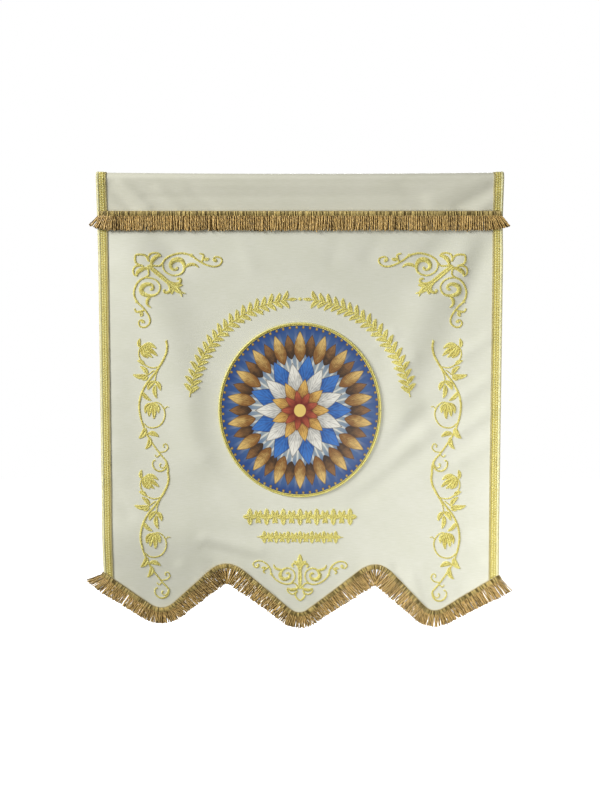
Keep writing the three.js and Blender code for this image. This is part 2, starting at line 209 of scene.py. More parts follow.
class Socket:
    """One output of a node. Arithmetic on it adds Math nodes."""

    def __init__(self, nodes, output):
        self.nodes = nodes
        self.output = output

    def other(self, name):
        """Another output of the same node."""
        return Socket(self.nodes, self.output.node.outputs[name])

    def __add__(self, value):
        return self.nodes.math("ADD", self, value)

    def __radd__(self, value):
        return self.nodes.math("ADD", value, self)

    def __sub__(self, value):
        return self.nodes.math("SUBTRACT", self, value)

    def __rsub__(self, value):
        return self.nodes.math("SUBTRACT", value, self)

    def __mul__(self, value):
        return self.nodes.math("MULTIPLY", self, value)

    def __rmul__(self, value):
        return self.nodes.math("MULTIPLY", value, self)

    def __truediv__(self, value):
        return self.nodes.math("DIVIDE", self, value)

    def __rtruediv__(self, value):
        return self.nodes.math("DIVIDE", value, self)

    def __pow__(self, value):
        return self.nodes.math("POWER", self, value)


class Nodes:
    """Adds nodes to a shader tree or a geometry tree."""

    def __init__(self, tree):
        self.tree = tree

    def add(self, kind, settings=None, sockets=None, out=0):
        """A node of that type: its settings are made first, then the values or links of its sockets."""
        node = self.tree.nodes.new(kind)
        for name, value in (settings or {}).items():
            if name == "stops":
                self.set_stops(node.color_ramp, value)
            else:
                setattr(node, name, value)
        self.feed(node, sockets or {})
        return Socket(self, node.outputs[out]) if node.outputs else None

    def feed(self, node, sockets):
        """Sets or links sockets of a node that is already there."""
        for name, value in sockets.items():
            if isinstance(value, Socket):
                self.tree.links.new(value.output, node.inputs[name])
            else:
                node.inputs[name].default_value = value

    def set_stops(self, ramp, stops):
        """Gives a colour ramp its (place, colour) stops."""
        while len(ramp.elements) < len(stops):
            ramp.elements.new(1)
        for element, (place, colour) in zip(ramp.elements, stops):
            element.position = place
            element.color = colour

    def math(self, operation, *values):
        return self.add("ShaderNodeMath", {"operation": operation}, dict(enumerate(values)))

    def between(self, value, low, high):
        """0 below low, 1 above high and a smooth rise between them."""
        settings = {"interpolation_type": "SMOOTHSTEP"}
        return self.add("ShaderNodeMapRange", settings, {"Value": value, "From Min": low, "From Max": high})

    def blend(self, share, first, second):
        """First colour where share is 0, second where it is 1."""
        return self.add("ShaderNodeMix", {"data_type": "RGBA"}, {0: share, 6: first, 7: second}, out=2)

    def noise(self, vector, scale, detail=3.0):
        """Soft noise about 0.5."""
        return self.add("ShaderNodeTexNoise", None, {"Vector": vector, "Scale": scale, "Detail": detail})

    def stretched(self, vector, scale):
        """Coordinates scaled by different amounts along their axes."""
        return self.add("ShaderNodeMapping", None, {"Vector": vector, "Scale": scale})

    def attribute(self, name):
        """A number stored on the mesh."""
        return self.add("ShaderNodeAttribute", {"attribute_name": name}, out="Fac")


def new_material(name, constants):
    """A material with one Principled shader whose constants are set, and the helper that adds its nodes."""
    material = bpy.data.materials.new(name)
    material.use_nodes = True
    material.node_tree.nodes.clear()
    nodes = Nodes(material.node_tree)
    shader = nodes.add("ShaderNodeBsdfPrincipled", None, constants)
    nodes.add("ShaderNodeOutputMaterial", None, {"Surface": shader})
    return material, nodes, shader.output.node


def ivory_cloth(name, light, deep):
    """Dull satin cloth: fine crosswise ribs, uneven slubs along them and a slight mottle."""
    constants = {"Sheen Weight": 0.25, "Sheen Roughness": 0.4, "Specular IOR Level": 0.28}
    material, nodes, shader = new_material(name, constants)
    place = nodes.add("ShaderNodeTexCoord", out="UV")
    across = nodes.add("ShaderNodeSeparateXYZ", None, {0: place}, out="X")
    along = across.other("Y")
    slub = nodes.noise(nodes.stretched(place, (45, 620, 1)), 1.0)
    mottle = nodes.noise(nodes.stretched(place, (9, 13, 1)), 1.0)
    share = nodes.between(0.75 * slub + 0.5 * mottle, 0.45, 0.85)
    rib_pitch = 0.0012
    rib = nodes.math("SINE", along * (2 * math.pi / rib_pitch))
    thread = nodes.math("SINE", across * (2 * math.pi / 0.0009) + 6 * slub)
    height = 0.25 * rib + 0.12 * thread + 1.6 * slub
    bump = nodes.add("ShaderNodeBump", None, {"Strength": 0.22, "Distance": 0.0003, "Height": height})
    nodes.feed(shader, {
        "Base Color": nodes.blend(share, deep, light),
        "Roughness": 0.62 - 0.16 * slub,
        "Normal": bump,
    })
    return material


def place_piece(name, mesh, material, replaced=()):
    """Puts a finished mesh in the scene as a piece of the banner."""
    if material is not None:
        mesh.materials.append(material)
    piece = bpy.data.objects.new(name, mesh)
    bpy.context.scene.collection.objects.link(piece)
    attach(piece, "root")
    if replaced:
        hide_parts(*replaced)
    return piece


def panel_cloth_mesh():
    """The panel's sheet, thicker on the back where its side and foot hems are turned."""
    columns = np.linspace(-HALF_WIDTH, HALF_WIDTH, PANEL_COLUMNS)
    edge = foot_z(columns) - HEADER_ON_CLOTH * np.hypot(1, foot_slope(columns))
    share = np.linspace(0, 1, PANEL_ROWS)[:, None]
    z = SEAM_Z + (edge - SEAM_Z) * share
    x = np.broadcast_to(columns, z.shape)
    middle = relief(x, z)
    from_edge = np.minimum(z - edge, HALF_WIDTH - np.abs(x))
    hem = HEM_STEP * (1 - smoothstep(from_edge, HEM_WIDTH - 0.004, HEM_WIDTH)) * (z < LEG_Z - 0.003)
    front = np.stack([x, -(middle + CLOTH_THICK / 2), z], axis=-1)
    back = np.stack([x, -(middle - CLOTH_THICK / 2) + hem, z], axis=-1)
    return sheet_mesh("ivory_panel", front, back, np.stack([x, z], axis=-1))


panel = place_piece(
    "ivory_panel",
    panel_cloth_mesh(),
    ivory_cloth("ivory panel cloth", IVORY, IVORY_DEEP),
    ["panel"],
)


# Pole sleeve: a band of the same cloth folded over the pole, open at both ends.
# Its two legs are sewn to either side of the panel's top, and its front has slack diagonal creases.
SLEEVE_THICK = 0.0015
SLEEVE_RADIUS = 0.014
SLEEVE_LEG_Y = 0.0028
SLEEVE_SAG = 0.003
SLEEVE_COLUMNS = 120
SLEEVE_ROWS = 84

SLEEVE_CREASES = (  # on the front wall: the line each one follows, its spread and its lift
    dict(line=((-0.468, -0.036), (-0.418, -0.088)), spread=0.012, lift=-0.0017),
    dict(line=((-0.437, -0.022), (-0.376, -0.084)), spread=0.014, lift=0.0020),
    dict(line=((-0.345, -0.040), (-0.300, -0.086)), spread=0.014, lift=0.0012),
    dict(line=((-0.262, -0.045), (-0.215, -0.088)), spread=0.013, lift=-0.0010),
    dict(line=((-0.380, -0.060), (0.300, -0.056)), spread=0.009, lift=-0.0007),
    dict(line=((-0.250, -0.030), (0.380, -0.034)), spread=0.008, lift=0.0006),
    dict(line=((0.478, -0.036), (0.390, -0.084)), spread=0.015, lift=-0.0025),
    dict(line=((0.478, -0.066), (0.440, -0.092)), spread=0.013, lift=0.0019),
    dict(line=((0.440, -0.016), (0.330, -0.066)), spread=0.020, lift=0.0014),
    dict(line=((0.250, -0.030), (0.300, -0.080)), spread=0.018, lift=-0.0010),
)


def sleeve_half():
    """Half of the sleeve's section, from its top to the foot of its front leg, as (y, z) points."""
    centre_z = -SLEEVE_RADIUS
    lean = math.atan2(SLEEVE_RADIUS - SLEEVE_LEG_Y, centre_z - SEAM_Z)
    angles = np.linspace(math.pi / 2, math.pi + lean, 24)
    arc = np.stack([SLEEVE_RADIUS * np.cos(angles), centre_z + SLEEVE_RADIUS * np.sin(angles)], axis=-1)
    return np.concatenate([arc, [[-SLEEVE_LEG_Y, SEAM_Z], [-SLEEVE_LEG_Y, LEG_Z]]])


SLEEVE_HALF = sleeve_half()
SLEEVE_HALF_RUN = np.concatenate([[0], np.cumsum(np.hypot(*np.diff(SLEEVE_HALF, axis=0).T))])
SLEEVE_HALF_LENGTH = SLEEVE_HALF_RUN[-1]


def round_sleeve(x, s, height):
    """Point at a height off the sleeve and a distance s round it from its top, below 0 down the front."""
    run = np.abs(s)
    y = np.interp(run, SLEEVE_HALF_RUN, SLEEVE_HALF[:, 0])
    z = np.interp(run, SLEEVE_HALF_RUN, SLEEVE_HALF[:, 1])
    step = 0.002
    ahead_y = np.interp(run + step, SLEEVE_HALF_RUN, SLEEVE_HALF[:, 0])
    ahead_z = np.interp(run + step, SLEEVE_HALF_RUN, SLEEVE_HALF[:, 1])
    behind_y = np.interp(run - step, SLEEVE_HALF_RUN, SLEEVE_HALF[:, 0])
    behind_z = np.interp(run - step, SLEEVE_HALF_RUN, SLEEVE_HALF[:, 1])
    size = np.hypot(ahead_y - behind_y, ahead_z - behind_z)
    out_y = (ahead_z - behind_z) / size
    out_z = -(ahead_y - behind_y) / size
    crease = sum(fold_lift(x, z, **fold) for fold in SLEEVE_CREASES)
    rise = height + np.where(s < 0, crease, 0.6 * crease) * smoothstep(-z, 0.004, 0.03) * (z > SEAM_Z)
    y = y + out_y * rise
    z = z + out_z * rise
    sag = SLEEVE_SAG * (1 - (x / HALF_WIDTH) ** 2) * smoothstep(z, SEAM_Z, 0)
    return np.stack([x, np.where(s <= 0, y, -y), z - sag], axis=-1)


def sleeve_mesh():
    """The sleeve's sheet, from the foot of its back leg over the top to the foot of its front leg."""
    s = np.linspace(SLEEVE_HALF_LENGTH, -SLEEVE_HALF_LENGTH, SLEEVE_ROWS)[:, None]
    columns = np.linspace(-HALF_WIDTH, HALF_WIDTH, SLEEVE_COLUMNS)
    x, s = np.broadcast_arrays(columns, s)
    outer = round_sleeve(x, s, np.zeros_like(x))
    inner = round_sleeve(x, s, np.full_like(x, -SLEEVE_THICK))
    return sheet_mesh("ivory_sleeve", outer, inner, np.stack([x, s], axis=-1))


sleeve = place_piece(
    "ivory_sleeve",
    sleeve_mesh(),
    ivory_cloth("ivory sleeve cloth", (0.800, 0.788, 0.663, 1), (0.740, 0.733, 0.598, 1)),
    ["sleeve"],
)


# Galloon: woven gold braid 25 mm wide, sewn flat down both sides of the panel and over the sleeve's ends.
# A satin rib runs along its outer edge, its pale gold partly a painted highlight, then a lattice with two
# chains of rings, then dull cords.
GALLOON_WIDTH = 0.025
GALLOON_THICK = 0.001
GALLOON_GAP = 0.0006
SLEEVE_GALLOON_GAP = 0.0003
PLY_LAY = 0.004  # length of one turn of a thread's two plies
RIB_OFFSET = 0.0039  # offsets run inwards from the braid's outer edge
RIB_HALF = 0.0030
LATTICE_EDGE = 0.0067
LATTICE_OFFSET = 0.0135
LATTICE_SWING = 0.0058
LATTICE_PERIOD = 0.0086
RING_OFFSETS = (0.0100, 0.0168)
RING_PITCH = 0.0062
SELVEDGE_OFFSETS = (0.0008, 0.0212, 0.0227, 0.0242)
BRAID_CORD_LAY = 0.0060


def geometry_tree(name, inputs):
    """An empty Geometry Nodes tree with named inputs, and the helper and group input that build it up."""
    tree = bpy.data.node_groups.new(name, "GeometryNodeTree")
    tree.interface.new_socket("Geometry", in_out="INPUT", socket_type="NodeSocketGeometry")
    for label, kind in inputs.items():
        tree.interface.new_socket(label, in_out="INPUT", socket_type="NodeSocket" + kind)
    tree.interface.new_socket("Geometry", in_out="OUTPUT", socket_type="NodeSocketGeometry")
    nodes = Nodes(tree)
    return tree, nodes, nodes.add("NodeGroupInput", out="Geometry")


def end_tree(nodes, geometry, material):
    """Ends a tree: smooth faces, real geometry instead of instances, and the piece's material."""
    smooth = nodes.add("GeometryNodeSetShadeSmooth", None, {"Geometry": geometry})
    real = nodes.add("GeometryNodeRealizeInstances", None, {"Geometry": smooth})
    done = nodes.add("GeometryNodeSetMaterial", None, {"Geometry": real, "Material": material})
    nodes.add("NodeGroupOutput", None, {"Geometry": done})


def named(nodes, name):
    """A number stored on the points that a geometry tree works on."""
    return nodes.add("GeometryNodeInputNamedAttribute", {"data_type": "FLOAT"}, {"Name": name})


def store(nodes, geometry, name, value):
    """Stores a number on the points of a geometry."""
    settings = {"data_type": "FLOAT", "domain": "POINT"}
    return nodes.add(
        "GeometryNodeStoreNamedAttribute",
        settings,
        {"Geometry": geometry, "Name": name, "Value": value},
    )


def random_share(nodes, seed):
    """A number from 0 to 1 that differs from point to point."""
    return nodes.add("FunctionNodeRandomValue", {"data_type": "FLOAT"}, {"Seed": seed}, out=1)


def satin_tree():
    """Satin stitch: threads laid side by side across a centre line, arched over its padding."""
    inputs = {"Pitch": "Float", "Thread": "Float", "Padding": "Float", "Seed": "Int", "Material": "Material"}
    tree, nodes, lines = geometry_tree("satin stitch", inputs)
    curve = nodes.add("GeometryNodeMeshToCurve", None, {"Mesh": lines})
    pitch = lines.other("Pitch")
    curve = nodes.add("GeometryNodeResampleCurve", {"mode": "LENGTH"}, {"Curve": curve, "Length": pitch})
    curve = store(nodes, curve, "strand", random_share(nodes, lines.other("Seed")))
    tangent = nodes.add("GeometryNodeInputTangent")
    tangent_x = nodes.add("ShaderNodeSeparateXYZ", None, {0: tangent}, out="X")
    turn = nodes.math("ARCTAN2", tangent_x.other("Y"), tangent_x) + named(nodes, "slant")
    euler = nodes.add("ShaderNodeCombineXYZ", None, {"Z": turn})
    rotation = nodes.add("FunctionNodeEulerToRotation", None, {0: euler})
    half = named(nodes, "half_width")
    scale = nodes.add("ShaderNodeCombineXYZ", None, {"X": 1.0, "Y": half, "Z": 1.0})
    thread = nodes.add("GeometryNodeCurvePrimitiveLine", None, {"Start": (0, -1, 0), "End": (0, 1, 0)})
    thread = nodes.add("GeometryNodeResampleCurve", {"mode": "COUNT"}, {"Curve": thread, "Count": 3})
    stitches = nodes.add(
        "GeometryNodeInstanceOnPoints",
        None,
        {"Points": curve, "Instance": thread, "Rotation": rotation, "Scale": scale},
    )
    stitches = nodes.add("GeometryNodeRealizeInstances", None, {"Geometry": stitches})
    across = nodes.add("GeometryNodeSplineParameter", out="Factor") * 2 - 1
    arch = 1 - across * across
    width = lines.other("Thread")
    rise = (named(nodes, "half_width") * lines.other("Padding") + 0.5 * width) * arch
    uneven = (named(nodes, "strand") - 0.5) * width * 0.5
    lift = nodes.add("ShaderNodeCombineXYZ", None, {"Z": rise + uneven})
    stitches = nodes.add("GeometryNodeSetPosition", None, {"Geometry": stitches, "Offset": lift})
    profile = nodes.add("GeometryNodeCurvePrimitiveCircle", None, {"Resolution": 4, "Radius": 0.5 * width})
    threads = nodes.add(
        "GeometryNodeCurveToMesh",
        None,
        {"Curve": stitches, "Profile Curve": profile, "Fill Caps": True},
    )
    end_tree(nodes, threads, lines.other("Material"))
    return tree


def ply_profile(nodes, radius, flatness):
    """Section of a two-ply thread: a flattened ring that knows the angle of each of its points."""
    ring = nodes.add("GeometryNodeCurvePrimitiveCircle", None, {"Resolution": 5, "Radius": radius})
    place = nodes.add("GeometryNodeInputPosition")
    side = nodes.add("ShaderNodeSeparateXYZ", None, {0: place}, out="X")
    ring = store(nodes, ring, "ply_cos", side / radius)
    ring = store(nodes, ring, "ply_sin", side.other("Y") / radius)
    flat = nodes.add("ShaderNodeVectorMath", {"operation": "MULTIPLY"}, {0: place, 1: (1.0, flatness, 1.0)})
    return nodes.add("GeometryNodeSetPosition", None, {"Geometry": ring, "Position": flat})


def cord_tree():
    """Twisted cord: two plies that turn about each other along a line."""
    inputs = {"Radius": "Float", "Lay": "Float", "Material": "Material"}
    tree, nodes, lines = geometry_tree("twisted cord", inputs)
    curve = nodes.add("GeometryNodeMeshToCurve", None, {"Mesh": lines})
    step = lines.other("Lay") / 4
    curve = nodes.add("GeometryNodeResampleCurve", {"mode": "LENGTH"}, {"Curve": curve, "Length": step})
    run = nodes.add("GeometryNodeSplineParameter", out="Length")
    curve = store(nodes, curve, "strand", 0.6)
    turn = run / lines.other("Lay") * (2 * math.pi)
    curve = nodes.add("GeometryNodeSetCurveTilt", None, {"Curve": curve, "Tilt": turn})
    profile = ply_profile(nodes, lines.other("Radius"), 0.6)
    cord = nodes.add(
        "GeometryNodeCurveToMesh",
        None,
        {"Curve": curve, "Profile Curve": profile, "Fill Caps": True},
    )
    end_tree(nodes, cord, lines.other("Material"))
    return tree


def ring_tree():
    """Chain of thread rings set at even distances along a line."""
    inputs = {"Pitch": "Float", "Ring": "Float", "Thread": "Float", "Material": "Material"}
    tree, nodes, lines = geometry_tree("ring chain", inputs)
    curve = nodes.add("GeometryNodeMeshToCurve", None, {"Mesh": lines})
    pitch = lines.other("Pitch")
    curve = nodes.add("GeometryNodeResampleCurve", {"mode": "LENGTH"}, {"Curve": curve, "Length": pitch})
    curve = store(nodes, curve, "strand", 0.7)
    ring = nodes.add(
        "GeometryNodeCurvePrimitiveCircle",
        None,
        {"Resolution": 8, "Radius": lines.other("Ring")},
    )
    rings = nodes.add("GeometryNodeInstanceOnPoints", None, {"Points": curve, "Instance": ring})
    rings = nodes.add("GeometryNodeRealizeInstances", None, {"Geometry": rings})
    profile = nodes.add(
        "GeometryNodeCurvePrimitiveCircle",
        None,
        {"Resolution": 4, "Radius": 0.5 * lines.other("Thread")},
    )
    threads = nodes.add("GeometryNodeCurveToMesh", None, {"Curve": rings, "Profile Curve": profile})
    end_tree(nodes, threads, lines.other("Material"))
    return tree


SATIN = satin_tree()
CORD = cord_tree()
RINGS = ring_tree()


def stroke(points, half_width=0.001, slant=0.0, tone=0.5, height=0.0, closed=False):
    """A centre line in the flat, with the numbers that its stitches take from it."""
    points = np.asarray(points, float)
    half = np.broadcast_to(np.asarray(half_width, float), len(points))
    return dict(points=points, half_width=half, slant=slant, tone=tone, height=height, closed=closed)


def stroke_mesh(name, strokes):
    """Centre lines as one mesh of edges that carries their numbers."""
    points = []
    edges = []
    numbers = dict(half_width=[], slant=[], tone=[])
    for line in strokes:
        first = len(points)
        count = len(line["points"])
        points.extend((x, z, line["height"]) for x, z in line["points"])
        edges.extend((first + i, first + i + 1) for i in range(count - 1))
        if line["closed"]:
            edges.append((first + count - 1, first))
        numbers["half_width"].extend(line["half_width"])
        numbers["slant"].extend([line["slant"]] * count)
        numbers["tone"].extend([line["tone"]] * count)
    mesh = bpy.data.meshes.new(name)
    mesh.from_pydata(points, edges, [])
    for label, values in numbers.items():
        mesh.attributes.new(label, "FLOAT", "POINT").data.foreach_set("value", values)
    return mesh


def made_by(tree, source, settings):
    """The plain mesh that a tree makes of a source mesh."""
    maker = bpy.data.objects.new(source.name + "_maker", source)
    bpy.context.scene.collection.objects.link(maker)
    modifier = maker.modifiers.new("maker", "NODES")
    modifier.node_group = tree
    sockets = [item for item in tree.interface.items_tree if item.in_out == "INPUT"]
    identifiers = {item.name: item.identifier for item in sockets}
    for label, value in settings.items():
        modifier[identifiers[label]] = value
    graph = bpy.context.evaluated_depsgraph_get()
    mesh = bpy.data.meshes.new_from_object(
        maker.evaluated_get(graph), preserve_all_data_layers=True, depsgraph=graph
    )
    maker.modifiers.remove(modifier)
    bpy.data.objects.remove(maker)
    return mesh


def lay(mesh, surface):
    """Moves a flat mesh (x across, y along, z off the cloth) onto a surface of the banner."""
    points = np.empty(3 * len(mesh.vertices))
    mesh.vertices.foreach_get("co", points)
    points = points.reshape(-1, 3)
    mesh.vertices.foreach_set("co", surface(points[:, 0], points[:, 1], points[:, 2]).reshape(-1))
    mesh.update()
    return mesh


def joined(name, meshes):
    """Several meshes as one, each keeping its own material."""
    parts = []
    for mesh in meshes:
        part = bpy.data.objects.new(name, mesh)
        bpy.context.scene.collection.objects.link(part)
        parts.append(part)
    with bpy.context.temp_override(active_object=parts[0], selected_editable_objects=parts):
        bpy.ops.object.join()
    mesh = parts[0].data
    bpy.data.objects.remove(parts[0])
    mesh.name = name
    return mesh


def over_panel(gap):
    """A surface that lies on the panel's front with that gap."""
    def surface(x, z, height):
        return np.stack([x, -(relief(x, z) + CLOTH_THICK / 2 + gap + height), z], axis=-1)
    return surface


def over_sleeve(gap):
    """A surface that lies round the sleeve with that gap, where y in the flat is the distance round it."""
    def surface(x, s, height):
        return round_sleeve(x, s, gap + height)
    return surface


def gold_thread(name, light, deep, own=0.4, twist=0.16, lay=PLY_LAY):
    """Gold thread of two plies: own is how much its threads differ in shade; twist is how strongly a painted
    highlight lies on each ply's crown and painted shade in the groove between the plies.
    """
    material, nodes, shader = new_material(name, {"Metallic": 0.05, "Specular IOR Level": 0.4})
    place = nodes.add("ShaderNodeTexCoord", out="Object")
    strand = nodes.attribute("strand")
    tone = nodes.attribute("tone")
    ply_cos = nodes.attribute("ply_cos")
    ply_sin = nodes.attribute("ply_sin")
    turn = nodes.attribute("run") * (2 * math.pi / lay)
    even = (ply_cos * ply_cos - ply_sin * ply_sin) * nodes.math("COSINE", turn)
    ply = even - 2 * ply_sin * ply_cos * nodes.math("SINE", turn)
    fibre = nodes.noise(place, 2400.0, 2.0)
    patch = nodes.noise(place, 90.0, 2.0)
    # twist * ply paints a highlight on each ply's crown and shade in the groove between plies
    thread_shade = own * (strand - 0.5) + twist * ply + 0.6 * (tone - 0.5)
    share = 0.5 + thread_shade + 0.3 * (fibre - 0.5) + 0.35 * (patch - 0.5)
    bump = nodes.add("ShaderNodeBump", None, {
        "Strength": 0.5,
        "Distance": 0.0003,
        "Height": 0.4 * fibre + 0.6 * ply,
    })
    nodes.feed(shader, {
        "Base Color": nodes.blend(nodes.between(share, 0.0, 1.0), deep, light),
        "Roughness": 0.30 + 0.2 * fibre,
        "Normal": bump,
    })
    return material


def braid_cloth(name):
    """The braid's woven ground: olive gold with crosswise picks, duller along its inner edge."""
    material, nodes, shader = new_material(name, {"Metallic": 0.2, "Specular IOR Level": 0.4})
    place = nodes.add("ShaderNodeTexCoord", out="UV")
    across = nodes.add("ShaderNodeSeparateXYZ", None, {0: place}, out="X")
    along = across.other("Y")
    pick = nodes.math("SINE", along * (2 * math.pi / 0.0016))
    slant = nodes.math("SINE", (along + across) * (2 * math.pi / 0.0046))
    counter = nodes.math("SINE", (along - across) * (2 * math.pi / 0.0046))
    lattice = slant * counter
    grain = nodes.noise(place, 900.0, 2.0)
    weave = nodes.between(0.3 * pick + 0.5 * lattice + grain, 0.0, 1.1)
    ground = nodes.blend(weave, (0.32, 0.245, 0.028, 1), (0.98, 0.84, 0.18, 1))
    dull = nodes.blend(weave, (0.30, 0.25, 0.095, 1), (0.56, 0.49, 0.25, 1))
    edge = nodes.between(across, 0.0205, 0.0215)
    height = 0.6 * pick + lattice + 0.5 * grain
    bump = nodes.add("ShaderNodeBump", None, {"Strength": 0.5, "Distance": 0.0004, "Height": height})
    nodes.feed(shader, {
        "Base Color": nodes.blend(edge, ground, dull),
        "Roughness": 0.38 + 0.25 * grain,
        "Normal": bump,
    })
    return material


BRAID = braid_cloth("woven gold braid")
# The rib's near-white gold is partly a painted highlight of its gloss.
RIB_HIGHLIGHT_GOLD = gold_thread("bright rib gold", (1.00, 0.99, 0.68, 1), (0.95, 0.86, 0.42, 1))
BRAID_GOLD = gold_thread("braid gold", (1.00, 0.95, 0.46, 1), (0.54, 0.42, 0.075, 1))
EDGE_GOLD = gold_thread("dull edge gold", (0.84, 0.76, 0.38, 1), (0.44, 0.36, 0.13, 1))


def raised(surface):
    """The same surface, a braid's thickness higher."""
    def on_braid(x, along, height):
        return surface(x, along, height + GALLOON_THICK * 0.8)
    return on_braid


def galloon(name, outer_x, inward, top, bottom, surface):
    """A braid from top to bottom in the flat, with its outer edge at outer_x, and its threads."""
    def line_at(offset, **numbers):
        x = outer_x + inward * offset
        return stroke([(x, top), (x, bottom(x))], **numbers)

    def zigzag(phase):
        x = outer_x + inward * LATTICE_OFFSET
        low = bottom(x)
        count = int((top - low) / (LATTICE_PERIOD / 2))
        turns = top - LATTICE_PERIOD / 2 * (np.arange(count) + phase)
        sides = x + LATTICE_SWING * (-1.0) ** np.arange(count)
        return stroke(np.stack([sides, turns], axis=-1), height=0.0003)

    across = np.linspace(0, GALLOON_WIDTH, 9)
    left_to_right = across if inward > 0 else across[::-1]
    x = outer_x + inward * left_to_right
    low = np.array([bottom(value) for value in x])
    share = np.linspace(0, 1, max(40, int((top - low.min()) / 0.007)))[:, None]
    run = top + (low - top) * share
    x = np.broadcast_to(x, run.shape)
    front = surface(x, run, np.full_like(x, GALLOON_THICK * 0.8))
    back = surface(x, run, np.zeros_like(x))
    uv = np.stack([np.broadcast_to(left_to_right, run.shape), run], axis=-1)
    band = sheet_mesh(name + "_band", front, back, uv)
    band = place_piece(name + "_band", band, BRAID, [name])

    rib = [line_at(RIB_OFFSET, half_width=RIB_HALF, slant=0.3, tone=0.8)]
    rib = made_by(SATIN, stroke_mesh(name + "_rib", rib), {
        "Pitch": 0.0011, "Thread": 0.0010, "Padding": 0.35, "Seed": 3, "Material": RIB_HIGHLIGHT_GOLD,
    })
    lattice = [line_at(LATTICE_EDGE)] + [zigzag(phase) for phase in (0.0, 1.0)]
    lattice = made_by(CORD, stroke_mesh(name + "_lattice", lattice), {
        "Radius": 0.0009, "Lay": BRAID_CORD_LAY, "Material": BRAID_GOLD,
    })
    chain = [line_at(offset, height=0.0006, tone=1.0) for offset in RING_OFFSETS]
    chain = made_by(RINGS, stroke_mesh(name + "_rings", chain), {
        "Pitch": RING_PITCH, "Ring": 0.0011, "Thread": 0.0014, "Material": BRAID_GOLD,
    })
    selvedge = [line_at(offset) for offset in SELVEDGE_OFFSETS]
    selvedge = made_by(CORD, stroke_mesh(name + "_selvedge", selvedge), {
        "Radius": 0.0008, "Lay": BRAID_CORD_LAY, "Material": EDGE_GOLD,
    })
    threads = joined(name + "_threads", [rib, lattice, chain, selvedge])
    threads = place_piece(name + "_threads", lay(threads, raised(surface)), None)
    return band, threads


def side_foot(x):
    """Where the side galloon ends at x, just above the foot fringe's sewing line."""
    return float(foot_z(np.array(x))) + 0.0006


def sleeve_foot(x):
    """Where the sleeve's galloon ends, at the foot of the front leg."""
    return -SLEEVE_HALF_LENGTH


trims = []
for side, outer_x, inward in (("left", -HALF_WIDTH, 1), ("right", HALF_WIDTH, -1)):
    trims += galloon(
        "galloon_" + side,
        outer_x,
        inward,
        LEG_Z - 0.0003,
        side_foot,
        over_panel(GALLOON_GAP),
    )
    galloon(
        "galloon_sleeve_" + side,
        outer_x,
        inward,
        SLEEVE_HALF_LENGTH,
        sleeve_foot,
        over_sleeve(SLEEVE_GALLOON_GAP),
    )


# Fringes: twisted metallic strands hung from a narrow woven header. One is sewn over the sleeve's seam,
# the other along the lobed foot, where its strands crowd together at the arches and fan out round the lobes.
HEADER_WIDTH = 0.011
TOP_FRINGE_HALF = 0.494
TOP_FRINGE_DEPTH = 0.046
LOBE_FRINGE_DEPTH = 0.041  # the foot's fringe hangs deeper at the arches than round the lobes
ARCH_FRINGE_DEPTH = 0.052
FRINGE_GAP = 0.0006
ON_LEG = 0.0031  # from the panel's middle to the back of the top fringe, on the sleeve's leg
OVER_GALLOON = 0.0013  # how much further out it lies over the galloon
ONTO_GALLOON = 0.016  # length over which it rises onto it
ROOT_DEPTH = HEADER_WIDTH - 0.003  # strands start under the header's lower edge
STRAND_PITCH = 0.0045
STRAND_RADIUS = 0.0018
STRAND_LAY = 0.0090
TANGLE_PITCH = 0.022  # strands hang together in tangles about this far apart
TOP_SPLAY = dict(left=46, right=44, reach=0.034)
FOOT_SPLAY = dict(left=38, right=14, reach=0.042)
# The inner layers' dark tones are painted shade between the strands; the outer layer's light tone is the
# strands in front.
STRAND_LAYERS = (  # from the cloth outwards: height off it and shade
    dict(height=0.0010, tone=0.05),
    dict(height=0.0022, tone=0.12),
    dict(height=0.0038, tone=0.76),
)
# Its deep colour serves as the painted shade of the inner strand layers.
STRAND_GOLD = gold_thread(
    "fringe strand gold",
    (0.90, 0.62, 0.225, 1),
    (0.088, 0.048, 0.010, 1),
    own=0.40,
    twist=0.38,
    lay=STRAND_LAY,
)
HEADER_GOLD = gold_thread("fringe header gold", (0.77, 0.60, 0.22, 1), (0.14, 0.097, 0.022, 1), own=0.8)
PALE_THREAD = gold_thread("pale sewing thread", (0.90, 0.76, 0.40, 1), (0.56, 0.42, 0.16, 1))
DARK_THREAD = gold_thread("dark edge thread", (0.22, 0.16, 0.050, 1), (0.07, 0.045, 0.015, 1))


